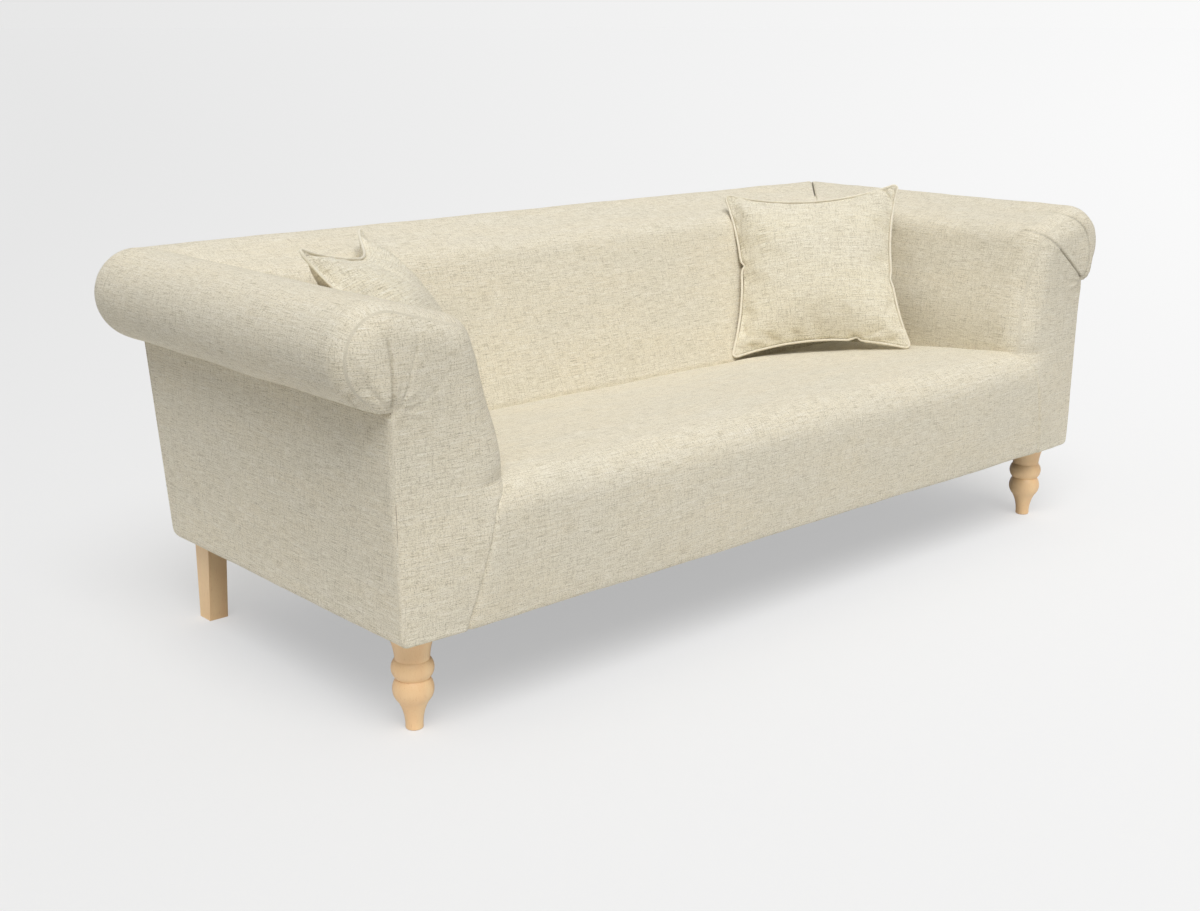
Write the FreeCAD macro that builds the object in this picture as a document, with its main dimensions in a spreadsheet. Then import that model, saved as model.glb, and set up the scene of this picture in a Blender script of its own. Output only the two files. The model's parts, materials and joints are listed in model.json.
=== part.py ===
import FreeCAD, Part
import Sketcher
import math
import os
from FreeCAD import Placement, Rotation, Vector

# Three-seat sofa with rolled arms and a rolled back of equal height.
# The seat is fixed, the front legs are turned, the rear legs are square,
# and two piped scatter cushions lie loose in the corners.
# X runs to the right, Y to the rear and Z up, with the floor at zero.
# The origin is on the floor under the middle of the whole sofa.
doc = FreeCAD.newDocument("RollArmSofa")

# Driving dimensions in millimetres, angles in degrees
sizes = doc.addObject("Spreadsheet::Sheet", "Sizes")
dimensions = [
    ("base_width", 2000, "outside arm to outside arm at the underside"),
    ("base_depth", 799, "frame front line to outside back at the underside"),
    ("ground_clearance", 183, "floor to underside, the height of the legs"),
    ("side_lean", 8, "how far the outside arm leans out up to the roll"),
    ("rear_lean", 50, "how far the outside back leans back up to the roll"),
    ("side_foot_radius", 12, "rounding under the outside arm"),
    ("rear_foot_radius", 25, "rounding under the outside back"),
    ("roll_radius", 90, "radius of the rolls, over the cover"),
    ("roll_height", 678, "floor to the centre of the rolls"),
    ("arm_roll_overhang", 3, "arm roll centre outside the base"),
    ("back_roll_overhang", 50, "back roll centre behind the base"),
    ("arm_gap", 1520, "inside arm to inside arm at the seat"),
    ("arm_knee_height", 516, "height where the inside arm starts to lean"),
    ("arm_lean", 19.3, "lean of the inside arm from upright"),
    ("knee_radius", 300, "rounding where the inside arm and back lean"),
    ("crest_slope", 16.7, "fall of the top from the roll inwards"),
    ("crest_radius", 60, "rounding at the inner edge of the top"),
    ("arm_front_radius", 60, "rounding round the front of the arm"),
    ("arm_dome", 10, "arm front ahead of the frame line"),
    ("seat_depth", 547, "frame front line to the inside back"),
    ("seat_rear_height", 399, "top of the seat at the inside back"),
    ("seat_front_height", 443, "top of the seat behind the nose"),
    ("nose_reach", 34, "seat nose ahead of the frame line"),
    ("nose_radius", 65, "rounding of the seat nose"),
    ("apron_reach", 16, "foot of the seat front ahead of the frame line"),
    ("apron_bulge", 4.5, "swell of the seat front between nose and foot"),
    ("seat_crown_depth", 230, "frame front line to the end of the seat's crown"),
    ("seat_crown_height", 431.4, "top of the seat at the end of its crown"),
    ("seat_crown_rise", 3.5, "swell of the seat's crown"),
    ("seam_top_half", 799, "half width of the seat front at the seat"),
    ("seam_foot_half", 867, "half width of the seat front at the underside"),
    ("cover_thickness", 3, "cover cloth with its fleece"),
    ("board_thickness", 3, "hardboard behind the outside covers"),
    ("arm_padding", 25, "foam on the arms"),
    ("back_padding", 35, "foam on the back"),
    ("front_padding", 28, "frame line to the front rail"),
    ("dust_thickness", 1.5, "dust cover under the frame"),
    ("rail_height", 110, "height of the base rails"),
    ("rail_thickness", 18, "thickness of rails and boards"),
    ("rear_rail_thickness", 28, "thickness of the rear rail"),
    ("cross_rail_height", 80, "height of the middle rail and the blocks"),
    ("corner_block_size", 90, "side of the corner blocks in plan"),
    ("tack_rail_height", 36, "height of the rails behind the seat edges"),
    ("tack_rail_lift", 9, "tack rails above the base rails"),
    ("top_rail_width", 68, "width of the rails under the tops"),
    ("top_rail_thickness", 22, "thickness of the rails under the tops"),
    ("top_rail_gap", 3, "rails under the tops clear of the tubes"),
    ("top_rail_height", 655, "floor to the rails under the arm tops"),
    ("back_top_rail_height", 636, "floor to the rail under the back top"),
    ("former_wall", 6, "wall of the tubes that form the rolls"),
    ("former_clearance", 2, "room for webbing round the tubes"),
    ("arm_board_gap", 12, "rear arm board ahead of the mitre with the back"),
    ("back_former_length", 1900, "length of the tube in the back roll"),
    ("back_top_rail_length", 1760, "length of the rail under the back top"),
    ("rib_edge_gap", 11, "outer back ribs inside the arm face"),
    ("strap_width", 50, "width of the webbing"),
    ("strap_thickness", 2, "thickness of the webbing"),
    ("arm_strap_count", 4, "webbing straps on each arm"),
    ("back_strap_pairs", 4, "webbing straps on each half of the back"),
    ("spring_count", 10, "zigzag springs across the seat"),
    ("spring_turns", 24, "turns in each zigzag spring"),
    ("spring_wire_radius", 1.9, "radius of the spring wire"),
    ("spring_straight", 30, "straight run of a spring between turns"),
    ("spring_edge", 85, "outer springs inside the arm face"),
    ("clip_length", 20, "length of a spring clip"),
    ("clip_depth", 12, "depth of a spring clip"),
    ("clip_height", 9, "height of a spring clip"),
    ("clip_clearance", 0.05, "room round the wire in a clip"),
    ("hessian_thickness", 2, "hessian over the springs"),
    ("front_leg_inset", 66, "front leg centre inside the outside arm"),
    ("front_leg_depth", 60, "frame front line to front leg centre"),
    ("leg_foot_radius", 16, "front leg at the floor"),
    ("leg_foot_round", 3, "rounding of the front leg at the floor"),
    ("leg_ankle_radius", 27, "front leg where the bulb starts"),
    ("leg_ankle_height", 52, "height where the bulb starts"),
    ("leg_ankle_curve", 95, "hollow between foot and bulb"),
    ("leg_waist_radius", 29.5, "front leg in the lower groove"),
    ("leg_waist_height", 96, "height of the lower groove"),
    ("leg_bulb_curve", 33, "curve of the bulb"),
    ("leg_neck_radius", 31, "front leg in the upper groove"),
    ("leg_neck_height", 132, "height of the upper groove"),
    ("leg_bead_curve", 25, "curve of the bead"),
    ("leg_collar_radius", 39.5, "front leg at the collar"),
    ("leg_collar_height", 172, "height of the collar edge"),
    ("leg_flare_curve", 120, "hollow of the flare under the collar"),
    ("rear_leg_inset", 66, "rear leg centre inside the outside arm"),
    ("rear_leg_foot", 41, "rear leg at the floor, square"),
    ("rear_leg_top", 56, "depth of the rear leg at the top"),
    ("rear_leg_setback", 1, "rear leg inside the outside back"),
    ("bolt_radius", 4, "radius of the leg bolts"),
    ("bolt_in_leg", 45, "depth of a leg bolt in the leg"),
    ("bolt_in_frame", 50, "depth of a leg bolt in the frame"),
    ("bolt_clearance", 0.05, "room round the leg bolts"),
    ("bolt_end_gap", 2, "room beyond the ends of the leg bolts"),
    ("dust_hole_gap", 1, "room round the leg bolts in the dust cover"),
    ("tee_nut_flange", 11, "radius of a tee nut's flange"),
    ("tee_nut_barrel", 5.5, "radius of a tee nut's barrel"),
    ("tee_nut_flange_thickness", 1.5, "thickness of a tee nut's flange"),
    ("tee_nut_length", 12, "length of a tee nut"),
    ("cushion_half_side", 193.5, "middle of a side to the cushion's centre"),
    ("cushion_corner", 198.5, "corner curve centre to the cushion's middle"),
    ("cushion_corner_radius", 14, "rounding of a cushion corner"),
    ("cushion_crown", 62, "half thickness of a cushion"),
    ("cushion_fullness", 1.2, "shape of a cushion's crown, where less is fuller"),
    ("cushion_steps", 8, "outlines from the seam to each face of a cushion"),
    ("cushion_cloth", 2, "cushion cover cloth"),
    ("piping_radius", 3.5, "radius of the cushion piping"),
    ("piping_gap", 0.2, "piping clear of the cushion cover"),
    ("cushion_lean", 30, "cushions lean back from upright"),
    ("cushion_roll", 4.7, "cushions turned in their own plane"),
    ("right_cushion_turn", 48.7, "right cushion turned towards the middle"),
    ("right_cushion_side_gap", 168, "right cushion centre inside the arm"),
    ("right_cushion_rear_gap", 79, "right cushion centre ahead of the back"),
    ("right_cushion_rise", 163.8, "right cushion centre above the seat"),
    ("left_cushion_turn", 45.2, "left cushion turned towards the middle"),
    ("left_cushion_side_gap", 117, "left cushion centre inside the arm"),
    ("left_cushion_rear_gap", 73.6, "left cushion centre ahead of the back"),
    ("left_cushion_rise", 163.4, "left cushion centre above the seat"),
]
for row, (name, value, meaning) in enumerate(dimensions, start=1):
    sizes.set(f"A{row}", name)
    sizes.set(f"B{row}", str(value))
    sizes.set(f"C{row}", meaning)
    sizes.setAlias(f"B{row}", name)
doc.recompute()


def size(name):
    return float(sizes.get(name))


UP = Vector(0, 0, 1)
ALONG_X = Vector(1, 0, 0)
ALONG_Y = Vector(0, 1, 0)
# Bodies used for cutting reach past what they cut by these lengths
BIG = 3000
MARGIN = 100
# Points nearer than this are the same point
SAME = 0.01

# Lines that more than one piece shares
underside = size("ground_clearance")
frame_bottom = underside + size("dust_thickness")
rail_top = frame_bottom + size("rail_height")
clip_top = rail_top + size("clip_height")
deck_top = clip_top + size("hessian_thickness")
crease_height = size("roll_height") - size("roll_radius")
half_width = size("base_width") / 2
half_gap = size("arm_gap") / 2
arm_roll_line = half_width + size("arm_roll_overhang")
back_roll_line = size("base_depth") + size("back_roll_overhang")
front_line = (size("nose_reach") - back_roll_line - size("roll_radius")) / 2
cover = size("cover_thickness")
lining = cover + size("board_thickness")
arm_skin = cover + size("arm_padding")
back_skin = cover + size("back_padding")
frame_front = size("front_padding")
frame_rear = size("base_depth") - size("rear_foot_radius")
frame_side = half_width - size("side_foot_radius")
crest_tilt = math.radians(size("crest_slope"))

FRONT = "(Sizes.nose_reach - Sizes.base_depth - Sizes.back_roll_overhang - Sizes.roll_radius) / 2"
BOTTOM = "(Sizes.ground_clearance + Sizes.dust_thickness)"
RAIL_TOP = f"({BOTTOM} + Sizes.rail_height)"
RAIL_Y = f"({FRONT} + Sizes.front_padding)"
BEHIND_RAIL_Y = f"({RAIL_Y} + Sizes.rail_thickness)"
REAR_RAIL_Y = (
    f"({FRONT} + Sizes.base_depth - Sizes.rear_foot_radius - Sizes.rear_rail_thickness)"
)
SIDE_X = "(Sizes.base_width / 2 - Sizes.side_foot_radius)"


def add_piece(label, shape):
    # A solid drawn from the frame's front line, moved to the sofa's origin
    piece = doc.addObject("Part::Feature", label)
    piece.Shape = shape
    piece.Placement = Placement(Vector(0, front_line, 0), Rotation())
    pieces.append(piece)
    return piece


def add_rail(label, length, width, height, x, y, z):
    # A squared timber whose sizes and place are bound to the sheet
    rail = doc.addObject("Part::Box", label)
    rail.setExpression("Length", length)
    rail.setExpression("Width", width)
    rail.setExpression("Height", height)
    rail.setExpression(".Placement.Base.x", x)
    rail.setExpression(".Placement.Base.y", y)
    rail.setExpression(".Placement.Base.z", z)
    pieces.append(rail)
    return rail


def mirrored(shape):
    return shape.mirror(Vector(0, 0, 0), Vector(1, 0, 0))


def box(x0, x1, y0, y1, z0, z1):
    return Part.makeBox(x1 - x0, y1 - y0, z1 - z0, Vector(x0, y0, z0))


pieces = []


# The arm and the back share one kind of section: an upright inner face that
# leans outwards above a knee, a sloping top, a roll and a leaning outer face.
# It is drawn with u outwards, so u is X on the right arm and Y on the back.
class Section:
    def __init__(self, inner, knee_height, lean, centre, outer_foot, outer_lean, foot_radius):
        self.inner = inner
        self.knee_height = knee_height
        self.lean = lean
        self.centre = centre
        self.outer_foot = outer_foot
        self.outer_slope = outer_lean / (crease_height - underside)
        self.foot_radius = foot_radius

    def outer(self, height, inset):
        stretch = math.hypot(1, self.outer_slope)
        return self.outer_foot + self.outer_slope * (height - underside) - inset * stretch

    def crest(self, skin):
        # The corner where the leaning face meets the sloping top
        stretch = math.hypot(1, self.lean)
        radius = size("roll_radius") - skin
        touch = Vector(
            self.centre - radius * math.sin(crest_tilt),
            0,
            size("roll_height") + radius * math.cos(crest_tilt),
        )
        face_at_touch = self.inner + (touch.z - self.knee_height) * self.lean + skin * stretch
        run = (face_at_touch - touch.x) / (math.cos(crest_tilt) - self.lean * math.sin(crest_tilt))
        corner = touch + Vector(run * math.cos(crest_tilt), 0, run * math.sin(crest_tilt))
        return corner, touch, radius

    def foot_round(self, inset):
        # Rounding between the outer face and the underside
        stretch = math.hypot(1, self.outer_slope)
        centre_u = self.outer_foot + self.outer_slope * self.foot_radius
        centre = Vector(centre_u - self.foot_radius * stretch, 0, underside + self.foot_radius)
        radius = self.foot_radius - inset
        out = Vector(1, 0, -self.outer_slope)
        out.normalize()
        between = out - UP
        between.normalize()
        return centre + out * radius, centre + between * radius, centre - UP * radius

    def outer_edges(self, top, inset, low):
        # The outer face from its top point down to the height low
        if low > underside + self.foot_radius:
            foot = Vector(self.outer(low, inset), 0, low)
            return [Part.makeLine(top, foot)], foot
        start, middle, end = self.foot_round(inset)
        edges = [Part.makeLine(top, start), Part.Arc(start, middle, end).toShape()]
        if end.z - low > SAME:
            foot = Vector(end.x, 0, low)
            edges.append(Part.makeLine(end, foot))
            end = foot
        return edges, end

    def wire(self, skin, inset, low):
        # The whole section, inset by skin on the inside and by inset outside
        stretch = math.hypot(1, self.lean)
        face = self.inner + skin
        knee = Vector(face, 0, self.knee_height - skin * (stretch - 1) / self.lean)
        corner, touch, radius = self.crest(skin)
        start = Vector(face, 0, low)
        knee_in, knee_mid, knee_out = rounded(start, knee, corner, size("knee_radius") - skin)
        crest_in, crest_mid, crest_out = rounded(knee, corner, touch, size("crest_radius") - skin)
        # The outer face meets the roll at a height that repetition settles
        crease = crease_height
        for step in range(8):
            across = self.outer(crease, inset) - self.centre
            crease = size("roll_height") - math.sqrt(radius**2 - across**2)
        end = Vector(self.outer(crease, inset), 0, crease)
        far = Vector(self.centre + radius, 0, size("roll_height"))
        soft = [
            Part.makeLine(start, knee_in),
            Part.Arc(knee_in, knee_mid, knee_out).toShape(),
            Part.makeLine(knee_out, crest_in),
            Part.Arc(crest_in, crest_mid, crest_out).toShape(),
            Part.makeLine(crest_out, touch),
            Part.Arc(touch, far, end).toShape(),
        ]
        hard, foot = self.outer_edges(end, inset, low)
        base = Part.makeLine(foot, start)
        return soft, hard + [base]

    def inner_line(self, skin, height):
        # Where the inner face lies at a height
        soft, hard = self.wire(skin, 0, underside)
        level = Part.makeLine(Vector(0, 0, height), Vector(BIG, 0, height))
        return Part.Wire(soft[:3]).distToShape(level)[1][0][0].x

    def limit(self, inset):
        # All that lies inside the outer face, and anything above the crease
        top = Vector(self.outer(crease_height, inset), 0, crease_height)
        edges, foot = self.outer_edges(top, inset, underside)
        corners = [
            foot,
            Vector(-BIG, 0, underside),
            Vector(-BIG, 0, BIG),
            Vector(BIG, 0, BIG),
            Vector(BIG, 0, crease_height),
            top,
        ]
        edges += [Part.makeLine(a, b) for a, b in zip(corners, corners[1:])]
        return Part.Face(Part.Wire(Part.__sortEdges__(edges)))


def rounded(before, corner, after, radius):
    # Start, middle and end of the arc that rounds a corner
    back = before - corner
    back.normalize()
    onward = after - corner
    onward.normalize()
    half = back.getAngle(onward) / 2
    run = radius / math.tan(half)
    bisector = back + onward
    bisector.normalize()
    middle = corner + bisector * (radius / math.sin(half) - radius)
    return corner + back * run, middle, corner + onward * run


arm = Section(
    half_gap,
    size("arm_knee_height"),
    math.tan(math.radians(size("arm_lean"))),
    arm_roll_line,
    half_width,
    size("side_lean"),
    size("side_foot_radius"),
)
arm_crest = arm.crest(0)[0]
# The back leans so that its top inner edge meets that of the arm at the mitre
back_crest_depth = back_roll_line - (arm_roll_line - arm_crest.x)
back_lean = (back_crest_depth - size("seat_depth")) / (arm_crest.z - size("seat_rear_height"))
back = Section(
    size("seat_depth"),
    size("seat_rear_height"),
    back_lean,
    back_roll_line,
    size("base_depth"),
    size("rear_lean"),
    size("rear_foot_radius"),
)


def arm_face(skin, inset, low, depth):
    # The arm section standing across the sofa at a depth
    soft, hard = arm.wire(skin, inset, low)
    face = Part.Face(Part.Wire(soft + hard))
    face.translate(Vector(0, depth, 0))
    return face


def back_face(skin, inset, low, x):
    # The back section standing along the sofa at an x
    soft, hard = back.wire(skin, inset, low)
    face = Part.Face(Part.Wire(soft + hard))
    face.rotate(Vector(0, 0, 0), UP, 90)
    face.translate(Vector(x, 0, 0))
    return face


def roll_corner(skin, start_angle):
    # Half of the ball where an arm roll meets the back roll
    radius = size("roll_radius") - skin
    centre = Vector(arm_roll_line, back_roll_line, size("roll_height"))
    ball = Part.makeSphere(radius, Vector(0, 0, 0), UP, -90, 90, 45)
    ball.rotate(Vector(0, 0, 0), UP, start_angle)
    ball.translate(centre)
    return ball


def plan_prism(points):
    corners = [Vector(x, y, 0) for x, y in points]
    return Part.Face(Part.makePolygon(corners + corners[:1])).extrude(UP * BIG)


def mitre_depth(x):
    return back_roll_line - (arm_roll_line - x)


arm_inner_reach = half_gap - MARGIN
arm_zone = plan_prism([
    (arm_inner_reach, -BIG),
    (BIG, -BIG),
    (BIG, back_roll_line),
    (arm_roll_line, back_roll_line),
    (arm_inner_reach, mitre_depth(arm_inner_reach)),
])
back_inner_reach = arm_roll_line - size("roll_radius")
back_zone = plan_prism([
    (-back_inner_reach, 0),
    (back_inner_reach, 0),
    (back_inner_reach, mitre_depth(back_inner_reach)),
    (arm_roll_line, back_roll_line),
    (arm_roll_line, BIG),
    (-arm_roll_line, BIG),
    (-arm_roll_line, back_roll_line),
    (-back_inner_reach, mitre_depth(back_inner_reach)),
])


def arm_form(skin, inset, low):
    # The right arm with its rounded front, up to the mitre with the back
    soft, hard = arm.wire(skin, inset, low)
    face = Part.Face(Part.Wire(soft + hard))
    depth = skin - size("arm_dome")
    face.translate(Vector(0, depth, 0))
    solid = face.extrude(Vector(0, back_roll_line - depth, 0))
    middles = []
    for edge in soft:
        middle = edge.valueAt((edge.FirstParameter + edge.LastParameter) / 2)
        middles.append(middle + Vector(0, depth, 0))
    front_edges = []
    for edge in solid.Edges:
        middle = edge.valueAt((edge.FirstParameter + edge.LastParameter) / 2)
        if min((middle - known).Length for known in middles) < SAME:
            front_edges.append(edge)
    solid = solid.makeFillet(size("arm_front_radius") - skin, front_edges)
    return solid.common(arm_zone).fuse(roll_corner(skin, 0)).removeSplitter()


def back_form(skin, inset, low):
    # The back between the mitres, with both of its roll corners
    solid = back_face(skin, inset, low, -arm_roll_line)
    solid = solid.extrude(Vector(2 * arm_roll_line, 0, 0)).common(back_zone)
    corner = roll_corner(skin, 45)
    return solid.fuse([corner, mirrored(corner)]).removeSplitter()


def rear_limit(inset):
    face = back.limit(inset)
    face.rotate(Vector(0, 0, 0), UP, 90)
    face.translate(Vector(-BIG, 0, 0))
    return face.extrude(Vector(2 * BIG, 0, 0))


def side_limit(inset):
    face = arm.limit(inset)
    face.translate(Vector(0, -BIG, 0))
    right = face.extrude(Vector(0, 2 * BIG, 0))
    return right.common(mirrored(right))


rear_limits = {inset: rear_limit(inset) for inset in (0, cover, lining)}
side_limits = {inset: side_limit(inset) for inset in (0, cover)}


# The seat, drawn as a section along the sofa
def seat_face(skin, low, x):
    top = size("seat_front_height") - skin
    nose = size("nose_reach") - skin
    centre = Vector(x, size("nose_radius") - size("nose_reach"), 0)
    centre.z = size("seat_front_height") - size("nose_radius")
    radius = size("nose_radius") - skin
    rear = Vector(x, size("seat_depth"), size("seat_rear_height") - skin)
    swell = Vector(x, size("seat_crown_depth"), size("seat_crown_height") - skin)
    shoulder = Vector(x, centre.y, top)
    crown = (swell + shoulder) * 0.5 + UP * size("seat_crown_rise")
    nose_mid = centre + Vector(0, -radius * math.sqrt(0.5), radius * math.sqrt(0.5))
    nose_front = Vector(x, -nose, centre.z)
    foot = Vector(x, skin - size("apron_reach"), low)
    apron_mid = (nose_front + foot) * 0.5 - ALONG_Y * size("apron_bulge")
    edges = [
        Part.makeLine(rear, swell),
        Part.Arc(swell, crown, shoulder).toShape(),
        Part.Arc(shoulder, nose_mid, nose_front).toShape(),
        Part.Arc(nose_front, apron_mid, foot).toShape(),
        Part.makeLine(foot, Vector(x, size("seat_depth"), low)),
        Part.makeLine(Vector(x, size("seat_depth"), low), rear),
    ]
    return Part.Face(Part.Wire(edges))


def seat_form(skin):
    reach = half_width
    return seat_face(skin, underside, -reach).extrude(Vector(2 * reach, 0, 0))


seam_top = size("seat_front_height")
front_outline = [
    (-size("seam_foot_half"), underside),
    (size("seam_foot_half"), underside),
    (size("seam_top_half"), seam_top),
    (size("seam_top_half"), seam_top + MARGIN),
    (-size("seam_top_half"), seam_top + MARGIN),
    (-size("seam_top_half"), seam_top),
]
front_corners = [Vector(x, -BIG, z) for x, z in front_outline]
seat_front_zone = Part.Face(Part.makePolygon(front_corners + front_corners[:1]))
seat_front_zone = seat_front_zone.extrude(ALONG_Y * (BIG + frame_front))

arm_outside = arm_form(0, 0, underside).common(rear_limits[lining])
arms_outside = [arm_outside, mirrored(arm_outside)]
seat_outer = seat_form(0)
seat_inner = seat_form(cover)
seat_wing = seat_outer.common(seat_front_zone)
seat_middle = box(
    -half_gap - MARGIN, half_gap + MARGIN, frame_front, size("seat_depth"), underside, BIG
)
seat_zone = seat_front_zone.fuse(seat_middle.cut(arms_outside)).removeSplitter()
under_deck = box(-half_gap - MARGIN, half_gap + MARGIN, frame_front, BIG, 0, deck_top)

# Base frame
full_width = "Sizes.base_width - 2 * Sizes.side_foot_radius"
add_rail(
    "front_seat_rail",
    full_width,
    "Sizes.rail_thickness",
    "Sizes.rail_height",
    f"-{SIDE_X}",
    RAIL_Y,
    BOTTOM,
)
rail_depth = (
    "Sizes.base_depth - Sizes.rear_foot_radius - Sizes.rear_rail_thickness"
    " - Sizes.front_padding - Sizes.rail_thickness"
)
INNER_X = "(Sizes.arm_gap / 2 + Sizes.cover_thickness + Sizes.arm_padding)"
for side, outer_x, inner_x in (
    ("left", f"-{SIDE_X}", f"-{INNER_X} - Sizes.rail_thickness"),
    ("right", f"{SIDE_X} - Sizes.rail_thickness", INNER_X),
):
    for name, x in (("base_rail", outer_x), ("seat_side_rail", inner_x)):
        add_rail(
            f"{side}_{name}",
            "Sizes.rail_thickness",
            rail_depth,
            "Sizes.rail_height",
            x,
            BEHIND_RAIL_Y,
            BOTTOM,
        )
add_rail(
    "seat_cross_rail",
    "Sizes.rail_thickness",
    rail_depth,
    "Sizes.cross_rail_height",
    "-Sizes.rail_thickness / 2",
    BEHIND_RAIL_Y,
    BOTTOM,
)

# Places of the legs and of the bolts that hold them
front_leg_x = half_width - size("front_leg_inset")
rear_leg_x = half_width - size("rear_leg_inset")
rear_rail_middle = frame_rear - size("rear_rail_thickness") / 2
bolt_places = [
    (-front_leg_x, size("front_leg_depth")),
    (front_leg_x, size("front_leg_depth")),
    (-rear_leg_x, rear_rail_middle),
    (rear_leg_x, rear_rail_middle),
]
bolt_hole = size("bolt_radius") + size("bolt_clearance")


def upright(radius, height, x, y, z):
    return Part.makeCylinder(radius, height, Vector(x, y, z), UP)


def tee_nut_outside(x, y):
    flange = upright(size("tee_nut_flange"), size("tee_nut_flange_thickness"), x, y, frame_bottom)
    barrel = upright(size("tee_nut_barrel"), size("tee_nut_length"), x, y, frame_bottom)
    return flange.fuse(barrel)


def bolt_seat(x, y):
    # What a leg bolt and its tee nut take out of the timber above them
    bore = upright(bolt_hole, size("bolt_in_frame") + size("bolt_end_gap"), x, y, frame_bottom)
    return tee_nut_outside(x, y).fuse(bore)


rear_rail = box(
    -frame_side,
    frame_side,
    frame_rear - size("rear_rail_thickness"),
    frame_rear,
    frame_bottom,
    rail_top,
)
seats = [bolt_seat(x, y) for x, y in bolt_places]
add_piece("rear_seat_rail", rear_rail.cut(seats[2:]))

block = size("corner_block_size")
block_front = frame_front + size("rail_thickness")
block_rear = frame_rear - size("rear_rail_thickness")
block_side = frame_side - size("rail_thickness")
blocks = []
for y0, y1 in ((block_front, block_front + block), (block_rear - block, block_rear)):
    right = box(
        block_side - block,
        block_side,
        y0,
        y1,
        frame_bottom,
        frame_bottom + size("cross_rail_height"),
    )
    blocks += [right, mirrored(right)]
blocks = [piece.cut(seats[:2]) for piece in blocks]
add_piece("corner_blocks", Part.makeCompound(blocks))

tee_nuts = []
bolts = []
for index, (x, y) in enumerate(bolt_places):
    bore = upright(bolt_hole, 2 * MARGIN, x, y, frame_bottom - MARGIN)
    tee_nuts.append(tee_nut_outside(x, y).cut(bore))
    start = underside - size("bolt_in_leg")
    length = size("bolt_in_leg") + size("dust_thickness") + size("bolt_in_frame")
    bolts.append(upright(size("bolt_radius"), length, x, y, start))
add_piece("leg_tee_nuts", Part.makeCompound(tee_nuts))
add_piece("leg_bolts", Part.makeCompound(bolts))

dust_cover = box(
    -frame_side, frame_side, cover - size("arm_dome"), frame_rear, underside, frame_bottom
)
dust_hole = bolt_hole + size("dust_hole_gap")
dust_holes = [upright(dust_hole, 2 * MARGIN, x, y, underside - MARGIN) for x, y in bolt_places]
dust_cover = dust_cover.cut(dust_holes)

# Arm frames: two shaped boards, rails between them and a tube in the roll
thick = size("rail_thickness")
strap = size("strap_thickness")
tack_low = rail_top + size("tack_rail_lift")
tack_high = tack_low + size("tack_rail_height")
arm_tack_x = arm.inner_line(arm_skin + strap, tack_high)
board_start = frame_front + thick
board_end = mitre_depth(arm_tack_x) - size("arm_board_gap") - thick
front_board = arm_face(arm_skin, lining, rail_top, frame_front).extrude(ALONG_Y * thick)
rear_board = arm_face(arm_skin, lining, rail_top, board_end).extrude(ALONG_Y * thick)
former_radius = size("roll_radius") - arm_skin - size("former_clearance")
arm_length = board_end - board_start


def tube(radius, length, start, direction):
    outside = Part.makeCylinder(radius, length, start, direction)
    inside = Part.makeCylinder(radius - size("former_wall"), length, start, direction)
    return outside.cut(inside)


arm_former = tube(
    former_radius,
    arm_length,
    Vector(arm_roll_line, board_start, size("roll_height")),
    ALONG_Y,
)
top_rail_x = arm_roll_line - former_radius - size("top_rail_gap")
arm_top_rail = box(
    top_rail_x - size("top_rail_width"),
    top_rail_x,
    board_start,
    board_end,
    size("top_rail_height"),
    size("top_rail_height") + size("top_rail_thickness"),
)
arm_tack_rail = box(arm_tack_x, arm_tack_x + thick, board_start, board_end, tack_low, tack_high)


def webbing(outer, inner, keep, places, along):
    # Straps that line a section's inner face, one at each place along it
    width = size("strap_width")
    straps = []
    for face in outer.cut(inner).common(keep).Faces:
        for place in places:
            start = face.translated(along * (place - width / 2))
            straps.append(start.extrude(along * width))
    return Part.makeCompound(straps)


strap_high = size("top_rail_height") + size("top_rail_thickness")
strap_pitch = arm_length / size("arm_strap_count")
arm_straps = webbing(
    arm_face(arm_skin, lining, rail_top, 0),
    arm_face(arm_skin + strap, lining + strap, rail_top, 0),
    box(0, arm_roll_line - size("roll_radius"), -BIG, BIG, tack_low, strap_high),
    [board_start + (index + 0.5) * strap_pitch for index in range(int(size("arm_strap_count")))],
    ALONG_Y,
)

for side in ("left", "right"):
    for name, shape in (
        ("arm_front_board", front_board),
        ("arm_rear_board", rear_board),
        ("arm_roll_former", arm_former),
        ("arm_top_rail", arm_top_rail),
        ("arm_tack_rail", arm_tack_rail),
        ("arm_webbing", arm_straps),
    ):
        placed = shape if side == "right" else mirrored(shape)
        add_piece(f"{side}_{name}", placed)

# Back frame: shaped ribs, notched for the rails that run through them
back_former_radius = size("roll_radius") - back_skin - size("former_clearance")
half_former = size("back_former_length") / 2
back_former_start = Vector(-half_former, back_roll_line, size("roll_height"))
back_former = tube(back_former_radius, 2 * half_former, back_former_start, ALONG_X)
half_top_rail = size("back_top_rail_length") / 2
back_top_y = back_roll_line - back_former_radius - size("top_rail_gap")
back_top_rail = box(
    -half_top_rail,
    half_top_rail,
    back_top_y - size("top_rail_width"),
    back_top_y,
    size("back_top_rail_height"),
    size("back_top_rail_height") + size("top_rail_thickness"),
)
back_tack_y = back.inner_line(back_skin + strap, tack_high)
back_tack_rail = box(-half_gap, half_gap, back_tack_y, back_tack_y + thick, tack_low, tack_high)
spring_pitch = (size("arm_gap") - 2 * size("spring_edge")) / (size("spring_count") - 1)
rib_places = [-half_gap + size("rib_edge_gap"), -2 * spring_pitch - thick / 2]
rib_places += [-x - thick for x in reversed(rib_places)]
former_hole = Part.makeCylinder(back_former_radius, 2 * half_former, back_former_start, ALONG_X)
ribs = []
for x in rib_places:
    rib = back_face(back_skin, lining, rail_top, x).extrude(Vector(thick, 0, 0))
    ribs.append(rib.cut([back_top_rail, back_tack_rail, former_hole]))
add_piece("back_ribs", Part.makeCompound(ribs))
add_piece("back_top_rail", back_top_rail)
add_piece("back_tack_rail", back_tack_rail)
add_piece("back_roll_former", back_former)

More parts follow.
